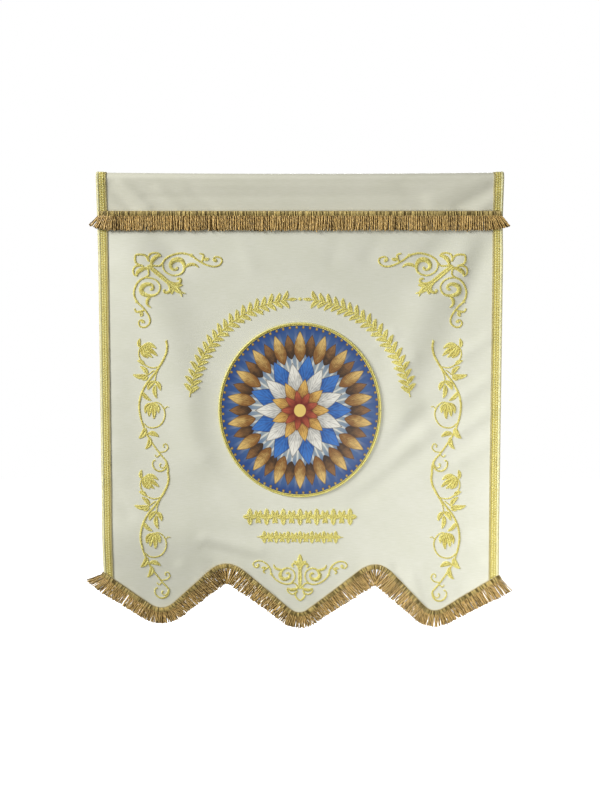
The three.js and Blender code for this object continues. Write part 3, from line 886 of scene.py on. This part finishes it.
def strand_tree():
    """Fringe strands: a twisted strand from each root point, along its heading, with a slack sway."""
    inputs = {"Radius": "Float", "Lay": "Float", "Sway": "Float", "Seed": "Int", "Material": "Material"}
    tree, nodes, roots = geometry_tree("fringe strands", inputs)
    seed = roots.other("Seed")
    roots_kept = store(nodes, roots, "strand", random_share(nodes, seed))
    euler = nodes.add("ShaderNodeCombineXYZ", None, {"Z": named(nodes, "heading")})
    rotation = nodes.add("FunctionNodeEulerToRotation", None, {0: euler})
    scale = nodes.add("ShaderNodeCombineXYZ", None, {"X": named(nodes, "reach"), "Y": 1.0, "Z": 1.0})
    line = nodes.add("GeometryNodeCurvePrimitiveLine", None, {"Start": (0, 0, 0), "End": (1, 0, 0)})
    line = nodes.add("GeometryNodeResampleCurve", {"mode": "COUNT"}, {"Curve": line, "Count": 7})
    strands = nodes.add(
        "GeometryNodeInstanceOnPoints",
        None,
        {"Points": roots_kept, "Instance": line, "Rotation": rotation, "Scale": scale},
    )
    strands = nodes.add("GeometryNodeRealizeInstances", None, {"Geometry": strands})
    run = nodes.add("GeometryNodeSplineParameter", out="Length")
    down = run.other("Factor")
    strands = store(nodes, strands, "run", run)
    own = named(nodes, "strand")
    place = nodes.add("ShaderNodeVectorMath", {"operation": "ADD"}, {
        0: nodes.add("GeometryNodeInputPosition"),
        1: nodes.add("ShaderNodeCombineXYZ", None, {"Z": own * 0.5}),
    })
    wander = {"Vector": place, "Scale": 60.0, "Detail": 1.5}
    drift = nodes.add("ShaderNodeTexNoise", None, wander, out="Color")
    drift = nodes.add("ShaderNodeVectorMath", {"operation": "SUBTRACT"}, {0: drift, 1: (0.5, 0.5, 0.5)})
    swing = nodes.add("ShaderNodeVectorMath", {"operation": "SCALE"}, {
        0: drift,
        "Scale": roots.other("Sway") * down,
    })
    strands = nodes.add("GeometryNodeSetPosition", None, {"Geometry": strands, "Offset": swing})
    turn = (run / roots.other("Lay") + own * 3) * (2 * math.pi)
    strands = nodes.add("GeometryNodeSetCurveTilt", None, {"Curve": strands, "Tilt": turn})
    profile = ply_profile(nodes, roots.other("Radius"), 0.75)
    threads = nodes.add(
        "GeometryNodeCurveToMesh",
        None,
        {"Curve": strands, "Profile Curve": profile, "Fill Caps": True},
    )
    end_tree(nodes, threads, roots.other("Material"))
    return tree


STRANDS = strand_tree()


def splay(place, length, left, right, reach):
    """Lean of the strands at a place along a fringe, in radians: to the left below 0, to the right above."""
    near_left = np.clip(1 - place / reach, 0, 1)
    near_right = np.clip(1 - (length - place) / reach, 0, 1)
    return np.radians(right * near_right - left * near_left)


def turned(ways, angles):
    """Directions in the flat, each turned by its angle."""
    cos = np.cos(angles)
    sin = np.sin(angles)
    return np.stack([ways[:, 0] * cos - ways[:, 1] * sin, ways[:, 0] * sin + ways[:, 1] * cos], axis=-1)


def length_along(line):
    """Length of a line up to each of its points."""
    return np.concatenate([[0], np.cumsum(np.hypot(*np.diff(line, axis=0).T))])


def strand_roots(name, line, down, lean, depth, seed):
    """Root points of a fringe's strands, even half way down them, with their heading, length and shade."""
    chance = np.random.default_rng(seed)
    run = length_along(line)
    half_way = length_along(line + turned(down, lean) * (0.6 * np.mean(depth)))
    count = int(half_way[-1] / STRAND_PITCH)
    tangles = np.linspace(0, run[-1], int(run[-1] / TANGLE_PITCH))
    tangle_lean = chance.normal(0, 0.040, len(tangles))
    tangle_shade = chance.normal(0, 0.10, len(tangles))
    points = []
    numbers = dict(heading=[], reach=[], tone=[])
    for i, layer in enumerate(STRAND_LAYERS):
        even = (np.arange(count) + 0.5 * i + 0.25) * STRAND_PITCH + chance.normal(0, 0.0005, count)
        place = np.interp(even, half_way, run)
        start = np.stack([np.interp(place, run, line[:, axis]) for axis in range(2)], axis=-1)
        way = np.stack([np.interp(place, run, down[:, axis]) for axis in range(2)], axis=-1)
        heading = np.arctan2(way[:, 1], way[:, 0]) + np.interp(place, run, lean)
        heading += np.interp(place, tangles, tangle_lean) + chance.normal(0, 0.028, count)
        height = layer["height"] + chance.uniform(0, 0.0006, count)
        reach = (np.interp(place, run, depth) - ROOT_DEPTH) * (1 + chance.normal(0, 0.028, count))
        points.extend(np.column_stack([start + way * ROOT_DEPTH, height]).tolist())
        numbers["heading"].extend(heading)
        numbers["reach"].extend(reach)
        # each layer's tone is painted shade for how deep it lies among the strands, plus a random shade per
        # tangle
        numbers["tone"].extend(layer["tone"] + np.interp(place, tangles, tangle_shade))
    mesh = bpy.data.meshes.new(name)
    mesh.from_pydata(points, [], [])
    for label, values in numbers.items():
        mesh.attributes.new(label, "FLOAT", "POINT").data.foreach_set("value", values)
    return mesh


def fringe(name, line, lean, depth, surface, node, seed):
    """A fringe whose header's top follows a line in the flat, and whose strands hang square to it."""
    along = np.gradient(line, axis=0)
    along /= np.hypot(*along.T)[:, None]
    down = np.stack([along[:, 1], -along[:, 0]], axis=-1)
    strands = made_by(STRANDS, strand_roots(name + "_roots", line, down, lean, depth, seed), {
        "Radius": STRAND_RADIUS, "Lay": 0.060, "Sway": 0.006, "Seed": seed, "Material": STRAND_GOLD,
    })
    strands = place_piece(name + "_strands", lay(strands, surface), None, [node])
    band = made_by(SATIN, stroke_mesh(name + "_band", [
        stroke(line + down * (HEADER_WIDTH / 2), half_width=HEADER_WIDTH / 2, slant=0.05, height=0.0040),
    ]), {"Pitch": 0.0030, "Thread": 0.0030, "Padding": 0.12, "Seed": seed + 1, "Material": HEADER_GOLD})
    pale = made_by(CORD, stroke_mesh(name + "_pale", [stroke(line - down * 0.0008, height=0.0014)]), {
        "Radius": 0.0007, "Lay": 0.0060, "Material": PALE_THREAD,
    })
    dark = made_by(CORD, stroke_mesh(name + "_dark", [stroke(line + down * 0.0006, height=0.0034)]), {
        "Radius": 0.0010, "Lay": 0.0060, "Material": DARK_THREAD,
    })
    header = joined(name + "_header", [band, pale, dark])
    header = place_piece(name + "_header", lay(header, surface), None)
    return strands, header


def over_seam(x, z, height):
    """The surface the top fringe lies on: the sleeve's leg, the galloon at its ends and the folds below."""
    raised_at = HALF_WIDTH - GALLOON_WIDTH - ONTO_GALLOON
    depth = ON_LEG + OVER_GALLOON * smoothstep(np.abs(x), raised_at - ONTO_GALLOON, raised_at)
    folds = relief(np.clip(x, -HALF_WIDTH, HALF_WIDTH), z) + CLOTH_THICK / 2 + GALLOON_THICK + 2 * FRINGE_GAP
    depth = np.where(z < LEG_Z, np.maximum(depth, folds), depth)
    return np.stack([x, -(depth + height), z], axis=-1)


top_x = np.linspace(-TOP_FRINGE_HALF, TOP_FRINGE_HALF, 400)
top_line = np.stack([top_x, np.full_like(top_x, SEAM_Z)], axis=-1)
top_lean = splay(top_x + TOP_FRINGE_HALF, 2 * TOP_FRINGE_HALF, **TOP_SPLAY)
top_depth = np.full_like(top_x, TOP_FRINGE_DEPTH)
fringe("fringe_top", top_line, top_lean, top_depth, over_seam, "fringe_top", 11)

foot_x = np.linspace(-HALF_WIDTH, HALF_WIDTH, 700)
foot_line = np.stack([foot_x, foot_z(foot_x)], axis=-1)
foot_run = length_along(foot_line)
foot_lean = splay(foot_run, foot_run[-1], **FOOT_SPLAY)
foot_rise = smoothstep(foot_line[:, 1], -1.100, -0.980)
foot_depth = LOBE_FRINGE_DEPTH + (ARCH_FRINGE_DEPTH - LOBE_FRINGE_DEPTH) * foot_rise
foot_fringe = fringe(
    "fringe_foot",
    foot_line,
    foot_lean,
    foot_depth,
    over_panel(FRINGE_GAP),
    "fringe_foot",
    23,
)


# Roundel: an oval of printed satin laid on the panel, its raw edge covered by a gold cord sewn round it.
# The print is a rosette: rings of blue, white and ochre petals on a rayed sky inside a ring of brown leaves.
ROUNDEL_GAP = 0.0006
ROUNDEL_THICK = 0.001
EDGING_RADIUS = 0.0026


def oval(angle, extra=0.0):
    """Point of the roundel's outline at an angle, moved outwards by extra."""
    x = (PRINT_HALF_WIDTH + extra) * np.cos(angle)
    z = PRINT_Z + (PRINT_HALF_HEIGHT + extra) * np.sin(angle)
    return np.stack([x, z], axis=-1)


def roundel_mesh():
    """The oval sheet, as a square grid drawn out to a disc."""
    share = np.linspace(-1, 1, 61)
    u, v = np.meshgrid(share, -share)
    disc_u = u * np.sqrt(1 - v * v / 2)
    disc_v = v * np.sqrt(1 - u * u / 2)
    x = PRINT_HALF_WIDTH * disc_u
    z = PRINT_Z + PRINT_HALF_HEIGHT * disc_v
    on_panel = over_panel(ROUNDEL_GAP)
    front = on_panel(x, z, np.full_like(x, ROUNDEL_THICK))
    back = on_panel(x, z, np.zeros_like(x))
    return sheet_mesh("roundel_satin", front, back, np.stack([disc_u, disc_v], axis=-1))


PRINT_LINE = (0.060, 0.028, 0.016, 1)
PRINT_HEART = (0.82, 0.60, 0.17, 1)
PRINT_RINGS = (  # from the back: count, turn, inner and outer reach, half width, deep and light colour
    (72, 0.0, 0.945, 0.992, 0.020, (0.42, 0.24, 0.05, 1), (0.86, 0.66, 0.22, 1)),
    (18, 0.5, 0.60, 0.90, 0.070, (0.050, 0.028, 0.016, 1), (0.30, 0.15, 0.055, 1)),
    (18, 0.0, 0.56, 0.935, 0.078, (0.24, 0.105, 0.028, 1), (0.80, 0.55, 0.19, 1)),
    (9, 0.5, 0.10, 0.66, 0.135, (0.012, 0.045, 0.20, 1), (0.055, 0.20, 0.58, 1)),
    (9, 0.0, 0.08, 0.57, 0.108, (0.36, 0.36, 0.34, 1), (0.88, 0.86, 0.78, 1)),
    (9, 0.5, 0.05, 0.38, 0.080, (0.22, 0.070, 0.018, 1), (0.80, 0.50, 0.13, 1)),
    (9, 0.0, 0.02, 0.25, 0.055, (0.16, 0.020, 0.014, 1), (0.50, 0.11, 0.055, 1)),
)


def petal_ring(nodes, under, distance, angle, daub, count, turn, inner, outer, width, deep, light):
    """Pointed petals painted over a picture, each shaded along it, with an outline, a rib and veins."""
    sector = nodes.math("FRACT", angle * (count / (2 * math.pi)) + turn) - 0.5
    aside = nodes.math("ABSOLUTE", sector) * distance * (2 * math.pi / count)
    reach = (distance - inner) / (outer - inner)
    along = nodes.math("MINIMUM", nodes.math("MAXIMUM", reach, 0.0), 1.0)
    inside = width * nodes.math("SINE", math.pi * along**0.8) - aside
    vein = nodes.math("SINE", 40 * along - (26 / width) * aside)
    shade = along + 0.7 * (daub - 0.5) + 0.10 * vein - (0.35 / width) * aside
    rib = 1 - nodes.between(aside, 0.0, 0.008)
    outline = 1 - nodes.between(inside, 0.004, 0.016)
    colour = nodes.blend(nodes.between(shade, 0.0, 0.85), deep, light)
    colour = nodes.blend(0.75 * outline + 0.35 * rib, colour, PRINT_LINE)
    return nodes.blend(nodes.between(inside, 0.0, 0.005), under, colour)


def printed_satin():
    """The print, worked out from the distance and the angle about the roundel's middle."""
    gloss = {"Specular IOR Level": 0.35, "Sheen Weight": 0.1}
    material, nodes, shader = new_material("printed satin", gloss)
    place = nodes.add("ShaderNodeTexCoord", out="UV")
    u = nodes.add("ShaderNodeSeparateXYZ", None, {0: place}, out="X")
    v = u.other("Y")
    brush = nodes.noise(nodes.stretched(place, (5, 9, 1)), 1.0, 5.0)
    daub = nodes.noise(nodes.stretched(place, (16, 22, 1)), 1.0, 4.0)
    distance = (u * u + v * v) ** 0.5 + 0.012 * (daub - 0.5)
    angle = nodes.math("ARCTAN2", v, u)
    picture = nodes.add("ShaderNodeValToRGB", {"stops": [
        (0.30, (0.72, 0.70, 0.58, 1)),
        (0.52, (0.30, 0.36, 0.40, 1)),
        (0.72, (0.085, 0.17, 0.34, 1)),
        (1.00, (0.022, 0.065, 0.24, 1)),
    ]}, {"Fac": distance + 0.30 * (brush - 0.5)})
    ray = nodes.between(nodes.math("COSINE", angle * 54) + 1.2 * (daub - 0.5), 0.1, 0.9)
    glow = nodes.between(0.98 - distance, 0.0, 0.5)
    picture = nodes.blend(ray * glow * 0.8, picture, (0.80, 0.78, 0.68, 1))
    for ring in PRINT_RINGS:
        picture = petal_ring(nodes, picture, distance, angle, daub, *ring)
    picture = nodes.blend(1 - nodes.between(distance, 0.070, 0.078), picture, PRINT_HEART)
    nodes.feed(shader, {"Base Color": picture, "Roughness": 0.36 + 0.12 * brush})
    return material


roundel = place_piece("roundel_satin", roundel_mesh(), printed_satin(), ["roundel"])

EMBROIDERY_GOLD = gold_thread("embroidery gold", (1.00, 0.95, 0.36, 1), (0.60, 0.49, 0.090, 1))

turn = np.linspace(0, 2 * math.pi, 240, endpoint=False)
edging_cord = made_by(CORD, stroke_mesh("edging_cord", [
    stroke(oval(turn, EDGING_RADIUS), height=EDGING_RADIUS * 0.6, closed=True),
]), {"Radius": EDGING_RADIUS, "Lay": 0.010, "Material": EMBROIDERY_GOLD})
edging_satin = made_by(SATIN, stroke_mesh("edging_satin", [
    stroke(oval(turn, -0.0012), half_width=0.0017, height=0.0010, tone=0.2, closed=True),
]), {"Pitch": 0.0012, "Thread": 0.0011, "Padding": 0.3, "Seed": 5, "Material": EMBROIDERY_GOLD})
edging = joined("roundel_edging", [edging_cord, edging_satin])
edging = place_piece(
    "roundel_edging",
    lay(edging, over_panel(ROUNDEL_GAP)),
    None,
    ["roundel_cord"],
)


# Embroidery: satin stitch in bright gold thread, worked through the panel before it is made up.
# A flower vine climbs each side, a scroll motif fills both upper corners and the middle lobe,
# a leaf garland arches over the roundel and two rows of sprays lie under it.
MM = 0.001  # motifs are drawn in millimetres
STITCH_PITCH = 0.0012
STITCH_THREAD = 0.0013
STEM_SPREAD = 1.3  # worked lines come out this much wider than drawn
LEAF_SPREAD = 1.15
EMBROIDERY_GAP = 0.0001


def line_through(points, step=1.5):
    """A smooth line through the points, with a point about every step."""
    points = np.asarray(points, float)
    ends = [2 * points[0] - points[1]], [2 * points[-1] - points[-2]]
    padded = np.concatenate([ends[0], points, ends[1]])
    pieces = []
    for a, b, c, d in zip(padded, padded[1:], padded[2:], padded[3:]):
        count = max(2, int(np.hypot(*(c - b)) / step))
        t = np.linspace(0, 1, count, endpoint=False)[:, None]
        bend = (2 * a - 5 * b + 4 * c - d) * t**2 + (3 * b - 3 * c + d - a) * t**3
        pieces.append(b + ((c - a) * t + bend) / 2)
    return np.concatenate(pieces + [points[-1:]])


def stem(points, halves, tone=0.45):
    """A stem or curl: half widths are spread evenly from its start to its end."""
    line = line_through(points)
    share = np.linspace(0, 1, len(line))
    half = STEM_SPREAD * np.interp(share, np.linspace(0, 1, len(halves)), halves)
    return [stroke(line, half_width=half, slant=0.45, tone=tone)]


def leaf(base, tip, width, bend=0.12, tone=0.6):
    """A leaf in two halves whose stitches slant back from its midrib; the second half is painted darker as
    painted shade.
    """
    base = np.asarray(base, float)
    tip = np.asarray(tip, float)
    length = np.hypot(*(tip - base))
    along = (tip - base) / length
    side = np.array([-along[1], along[0]])
    t = np.linspace(0.02, 0.98, max(8, int(length / 1.5)))[:, None]
    middle = base + (tip - base) * t + side * (4 * bend * length * t * (1 - t))
    half = LEAF_SPREAD * width / 4 * np.sin(math.pi * t**0.85) ** 0.75 + 0.3
    return [
        stroke(middle + side * half * 0.92, half_width=half[:, 0], slant=0.55, tone=tone),
        # the second half is painted darker: painted shade for the light its opposite slant catches
        stroke(middle - side * half * 0.92, half_width=half[:, 0], slant=-0.55, tone=tone - 0.18),
    ]


def dot(centre, radius, tone=0.7):
    """A round knot of stitches."""
    t = np.linspace(-0.95, 0.95, 8)
    line = np.asarray(centre, float) + np.stack([radius * t, np.zeros_like(t)], axis=-1)
    return [stroke(line, half_width=radius * np.sqrt(1 - t * t), tone=tone)]


def flower(base, tips, width):
    """A half-open flower: petals from one base to each tip, and a small cup behind them."""
    petals = []
    middle = (len(tips) - 1) / 2
    for i, tip in enumerate(tips):
        petals += leaf(base, tip, width, bend=0.13 * (i - middle), tone=0.45 + 0.2 * (i % 2))
    return petals + dot(base, 3.2, tone=0.3)


def placed(strokes, origin, turn=0.0, scale=(1.0, 1.0), mirror=False):
    """Strokes drawn in millimetres: mirrored, turned, scaled across and up, and set on the banner."""
    sign = -1 if mirror else 1
    across = np.array([math.cos(turn), math.sin(turn)]) * sign
    up = np.array([-math.sin(turn), math.cos(turn)])
    size = np.array(scale) * MM
    moved = []
    for line in strokes:
        drawn = line["points"][:, :1] * across + line["points"][:, 1:] * up
        half = line["half_width"] * size.mean()
        moved.append(stroke(origin + drawn * size, half, sign * line["slant"], line["tone"]))
    return moved


def embroider(name, strokes, seed):
    """Works a motif's strokes in satin stitch on the panel."""
    threads = made_by(SATIN, stroke_mesh(name + "_lines", strokes), {
        "Pitch": STITCH_PITCH,
        "Thread": STITCH_THREAD,
        "Padding": 0.30,
        "Seed": seed,
        "Material": EMBROIDERY_GOLD,
    })
    return place_piece(name, lay(threads, over_panel(EMBROIDERY_GAP)), None)


def vine_repeat(runs_on):
    """One repeat of the side vine, drawn downwards from its top: +x towards the banner's middle."""
    strokes = stem([
        (0, 0), (2, -17), (-3, -38), (-17, -63), (-33, -85), (-50, -106), (-63, -130), (-69, -152),
        (-70, -172), (-66, -196), (-59, -218), (-50, -238), (-38, -258), (-20, -283), (-8, -297),
    ], [2.3, 2.2, 2.1, 1.9, 1.6])
    if runs_on:
        strokes += stem([(-8, -297), (-1, -311), (1, -330)], [1.6, 2.3])
    strokes += stem([
        (-17, -64), (-33, -68), (-47, -65), (-60, -55), (-68, -42), (-69.5, -31), (-67, -21), (-60, -15),
    ], [1.2, 1.4, 1.2])
    strokes += flower((-60, -15), [(-46, -43), (-35, -42), (-23, -38), (-25, -20)], 11)
    strokes += leaf((-67, -17), (-66, 5), 8, bend=0.1)
    strokes += leaf((-56, -60), (-73, -50), 9, bend=-0.1)
    strokes += stem([(-32, -74), (-45, -84), (-51, -87)], [1.2, 1.1])
    strokes += leaf((-50, -87), (-85, -85), 11, bend=0.12)
    strokes += leaf((-48, -84), (-66, -64), 10, bend=-0.1)
    strokes += leaf((-49, -88), (-62, -98), 9)
    strokes += stem([(-19, -67), (-27, -86), (-29.5, -103)], [1.2, 1.1])
    strokes += leaf((-30.5, -101), (-48, -123), 11, bend=-0.12)
    strokes += leaf((-28.5, -102), (-16.5, -124), 10, bend=0.12)
    strokes += leaf((-29.5, -111), (-25.5, -144), 10, bend=-0.1)
    strokes += leaf((-62, -128), (-40, -150), 9, bend=-0.1)
    strokes += stem([
        (-59, -208), (-50, -216), (-36, -218.5), (-20, -213), (-9, -199), (-5.5, -183), (-9, -169),
        (-17, -158.5), (-27, -154), (-37, -157),
    ], [1.2, 1.4, 1.3, 1.1])
    strokes += flower((-37, -157), [(-55, -182), (-46, -190), (-34, -196), (-22, -181)], 11)
    strokes += stem([(-7, -171), (-1, -165), (4, -166)], [1.0, 0.8])
    strokes += leaf((-56, -218), (-72, -245), 13, bend=0.15)
    strokes += leaf((-49, -233), (-22, -241), 11, bend=0.14)
    strokes += leaf((-45, -242), (-56, -272), 11, bend=0.16)
    strokes += stem([
        (-19, -280), (-7, -278), (1, -269), (-3, -259), (-10, -261), (-9.5, -267),
    ], [1.2, 1.2, 1.0])
    strokes += stem([(-18, -284), (-27, -292), (-32, -287)], [1.2, 1.0])
    strokes += stem([
        (-8, -297), (-2, -306), (-5, -319), (-14, -327), (-26, -327), (-36, -318), (-38, -306), (-33, -300),
    ], [1.5, 1.8, 1.6, 1.1])
    strokes += stem([(-3, -305), (-7, -316), (-14, -320), (-20, -315), (-19, -309)], [1.2, 1.0])
    strokes += dot((-33, -301), 2.4) + dot((-18, -310), 2.2) + dot((-9.5, -266), 2.0)
    return strokes


def scroll_motif():
    """The scroll motif, drawn upright about its junction: a slim spindle, two volutes and two long arms."""
    strokes = leaf((0, 62), (0, 88), 11.5, bend=0.0, tone=0.75)
    half = stem([(2.0, -3), (2.4, 18), (2.2, 44), (1.7, 66)], [1.3, 1.8, 1.7, 1.2], tone=0.6)
    half += leaf((1, 64), (15, 71), 7.5, bend=-0.1)
    half += stem([(2.5, 47), (5, 57), (10, 63), (16, 63.5), (20.5, 59), (18, 54)], [1.3, 2.2, 2.8, 2.4, 1.4])
    half += dot((17.5, 55.5), 2.3)
    half += stem([
        (22, 12), (15, 21), (12.6, 31), (16, 43), (25.5, 50.4), (36, 51), (45.6, 44), (50, 33.5), (47, 25.5),
        (39, 21.5), (29.5, 24.5), (25.5, 31.5), (28, 38), (33, 39.5),
    ], [1.3, 1.3, 1.3, 1.4, 1.7, 2.6, 4.4, 4.0, 2.6, 1.6], tone=0.55)
    half += dot((33, 37.5), 2.8)
    half += stem([(45, 47), (52, 47), (59, 49.5), (64.5, 54), (66, 60)], [1.1, 2.6, 2.8, 2.0, 0.9])
    half += stem([
        (5, 1), (9, 7), (15, 12), (24, 11), (33, 8.8), (47, 11.5), (61.6, 20.5), (72, 34.3), (75, 47),
        (82, 59), (92.5, 67), (104.5, 69.7), (115, 66), (118.7, 59), (114, 52.5),
        (106.5, 53), (103.5, 58), (107, 61),
    ], [1.4, 1.6, 1.6, 1.6, 1.5, 1.4, 1.3])
    half += dot((72.5, 34.5), 3.4) + dot((106.5, 57.5), 3.2)
    half += stem([(79, 54), (86, 49), (93, 42), (89, 37)], [1.2, 1.9, 1.3])
    half += leaf((86, 49), (98, 51), 6)
    half += stem([(4, 3), (8, -3), (16, -6), (25, -5.5), (31, -2)], [1.5, 2.8, 3.8, 3.4, 1.4])
    half += stem([(31, -2), (32, -8), (27, -15), (19, -18), (12, -14.5), (7.5, -9)], [1.3, 1.5, 1.6, 1.4])
    half += stem([(7, -9), (11, -17), (11.5, -23), (7, -30), (0, -35.5)], [1.4, 1.7, 1.7, 1.5])
    mirrored = [dict(line, points=line["points"] * (-1, 1), slant=-line["slant"]) for line in half]
    return strokes + half + mirrored


def drawn_in(strokes, degrees):
    """The motif with its two outer arms turned towards its axis, as it is set in a corner."""
    bent = []
    for line in strokes:
        across, up = line["points"].T
        reach = np.hypot(across, up)
        angle = np.arctan2(across, up)
        angle -= np.sign(across) * math.radians(degrees) * smoothstep(reach, 60, 135)
        points = np.stack([reach * np.sin(angle), reach * np.cos(angle)], axis=-1)
        bent.append(dict(line, points=points))
    return bent


def garland():
    """Two leafy sprays on an arc about the roundel, rising from either side to meet at the top."""
    radius = 277.0
    centre_z = PRINT_Z / MM

    def on_arc(degrees, out=0.0):
        angle = math.radians(degrees)
        return np.array([(radius + out) * math.cos(angle), centre_z + (radius + out) * math.sin(angle)])

    spray = stem([on_arc(a) for a in np.linspace(7, 85, 14)], [1.0, 1.5, 1.5, 1.0])
    for i, degrees in enumerate(np.linspace(9, 80, 20)):
        reach = 27 if i % 2 else 24
        for out in (-1, 1):
            base = on_arc(degrees + (1.2 if out > 0 else 0))
            spray += leaf(base, on_arc(degrees + 4.0, out * reach * 0.8), 10, bend=0.1 * out)
        if i % 3 == 1:
            spray += dot(on_arc(degrees + 0.4, 13), 2.2) + dot(on_arc(degrees + 0.4, -13), 2.2)
    spray += leaf(on_arc(84), on_arc(88.4), 7, bend=0.0)
    mirrored = [dict(line, points=line["points"] * (-1, 1), slant=-line["slant"]) for line in spray]
    return spray + mirrored + dot(on_arc(90), 4.0)


def spray_row(half_length, height, pitch):
    """A straight row of four-petalled rosettes with leaf pairs between them."""
    strokes = stem([(-half_length, 0), (half_length, 0)], [0.8, 1.2, 0.8])
    count = int(half_length / pitch)
    for i in range(-count, count + 1):
        x = i * pitch
        petal = height / 2
        for dx, dy in ((0, 1), (0, -1), (0.8, 0), (-0.8, 0)):
            base = (x + 2 * dx, 2 * dy)
            tip = (x + petal * dx, petal * dy)
            strokes += leaf(base, tip, petal * 0.55, bend=0.0, tone=0.65)
        strokes += dot((x, 0), 2.2, tone=0.3)
        if i < count:
            centre = x + pitch / 2
            for dy in (-1, 1):
                tip = petal * 0.78 * dy
                strokes += leaf((centre, dy), (centre - 6, tip), petal * 0.42, bend=0.1)
                strokes += leaf((centre, dy), (centre + 6, tip), petal * 0.42, bend=-0.1)
    return strokes


VINE_TOP = (-0.332, -0.413)
VINE_PITCH = 0.330
CORNER_PLACES = dict(left=((-0.372, -0.230), -math.radians(135)), right=((0.374, -0.230), math.radians(135)))
CORNER_SCALE = (1.35, 1.13)
CORNER_DRAW = 11
FOOT_MOTIF = (0.000, -1.040)

for side, mirror, seed in (("left", False, 31), ("right", True, 32)):
    x, z = VINE_TOP
    vine = []
    for repeat in range(2):
        top = (-x if mirror else x, z - repeat * VINE_PITCH)
        vine += placed(vine_repeat(repeat == 0), top, mirror=mirror)
    trims.append(embroider("embroidery_vine_" + side, vine, seed))
    place, turn = CORNER_PLACES[side]
    corner = placed(drawn_in(scroll_motif(), CORNER_DRAW), place, turn=turn, scale=CORNER_SCALE)
    trims.append(embroider("embroidery_corner_" + side, corner, seed + 10))
trims.append(embroider("embroidery_foot", placed(scroll_motif(), FOOT_MOTIF), 51))
trims.append(embroider("embroidery_garland", placed(garland(), (0, 0)), 52))
rows = placed(spray_row(128, 42, 42), (0, -0.856)) + placed(spray_row(108, 31, 30), (0, -0.908))
trims.append(embroider("embroidery_rows", rows, 53))
trims + list(foot_fringe)


# Studio: a plain white floor far below the hanging banner, soft lights and the camera in front of it.
# The main light stands high on the left and grazes the folds, a weak one in front lifts the lower right,
# and one behind shows the back.
FLOOR_Z = -2.0
CAMERA_PLACE = (0.0, -2.9886, -0.3001)
CAMERA_PITCH = 85  # from looking straight down, in degrees

floor_mesh = bpy.data.meshes.new("floor")
floor_corners = [(-8, -8, FLOOR_Z), (8, -8, FLOOR_Z), (8, 8, FLOOR_Z), (-8, 8, FLOOR_Z)]
floor_mesh.from_pydata(floor_corners, [], [(0, 1, 2, 3)])
floor_material, _, _ = new_material("white floor", {
    "Base Color": (0.8, 0.8, 0.8, 1),
    "Roughness": 0.9,
    "Emission Color": (1, 1, 1, 1),
    "Emission Strength": 1.0,
})
floor_mesh.materials.append(floor_material)
floor = bpy.data.objects.new("floor", floor_mesh)
bpy.context.scene.collection.objects.link(floor)
floor.visible_diffuse = False  # it only shows, and adds no light from below
floor.visible_glossy = False


def soft_light(name, place, aim, size, power):
    """A square area light that faces a point."""
    light = bpy.data.lights.new(name, "AREA")
    light.size = size
    light.energy = power
    lamp = bpy.data.objects.new(name, light)
    bpy.context.scene.collection.objects.link(lamp)
    lamp.location = place
    lamp.visible_camera = False
    way = np.subtract(aim, place)
    lamp.rotation_euler = (
        math.atan2(math.hypot(way[0], way[1]), -way[2]),
        0,
        math.atan2(way[1], way[0]) - math.pi / 2,
    )
    return lamp


soft_light("left light", (-4.0, -1.9, 1.5), (0, 0, -0.6), 1.8, 280)
soft_light("front light", (0.55, -1.0, -0.95), (0.5, 0, -0.9), 0.6, 6.5)
soft_light("back light", (1.2, 3.4, 0.9), (0, 0, -0.6), 2.4, 150)

world = bpy.data.worlds.new("studio")
bpy.context.scene.world = world
world.use_nodes = True
world.node_tree.nodes.clear()
sky = Nodes(world.node_tree)
camera_ray = sky.add("ShaderNodeLightPath", out="Is Camera Ray")
seen = sky.math("MAXIMUM", camera_ray, 0.12 * camera_ray.other("Is Glossy Ray"))
fill = sky.add("ShaderNodeBackground", None, {"Color": (1.0, 0.98, 0.88, 1), "Strength": 0.13})
white = sky.add("ShaderNodeBackground", None, {"Color": (1, 1, 1, 1), "Strength": 1.0})
shown = sky.add("ShaderNodeMixShader", None, {0: seen, 1: fill, 2: white})
sky.add("ShaderNodeOutputWorld", None, {"Surface": shown})
bpy.context.scene.view_settings.view_transform = "Standard"

camera_data = bpy.data.cameras.new("camera")
camera_data.lens = 54
camera_data.sensor_width = 36
camera = bpy.data.objects.new("camera", camera_data)
bpy.context.scene.collection.objects.link(camera)
camera.location = CAMERA_PLACE
camera.rotation_euler = (math.radians(CAMERA_PITCH), 0, 0)
bpy.context.scene.camera = camera
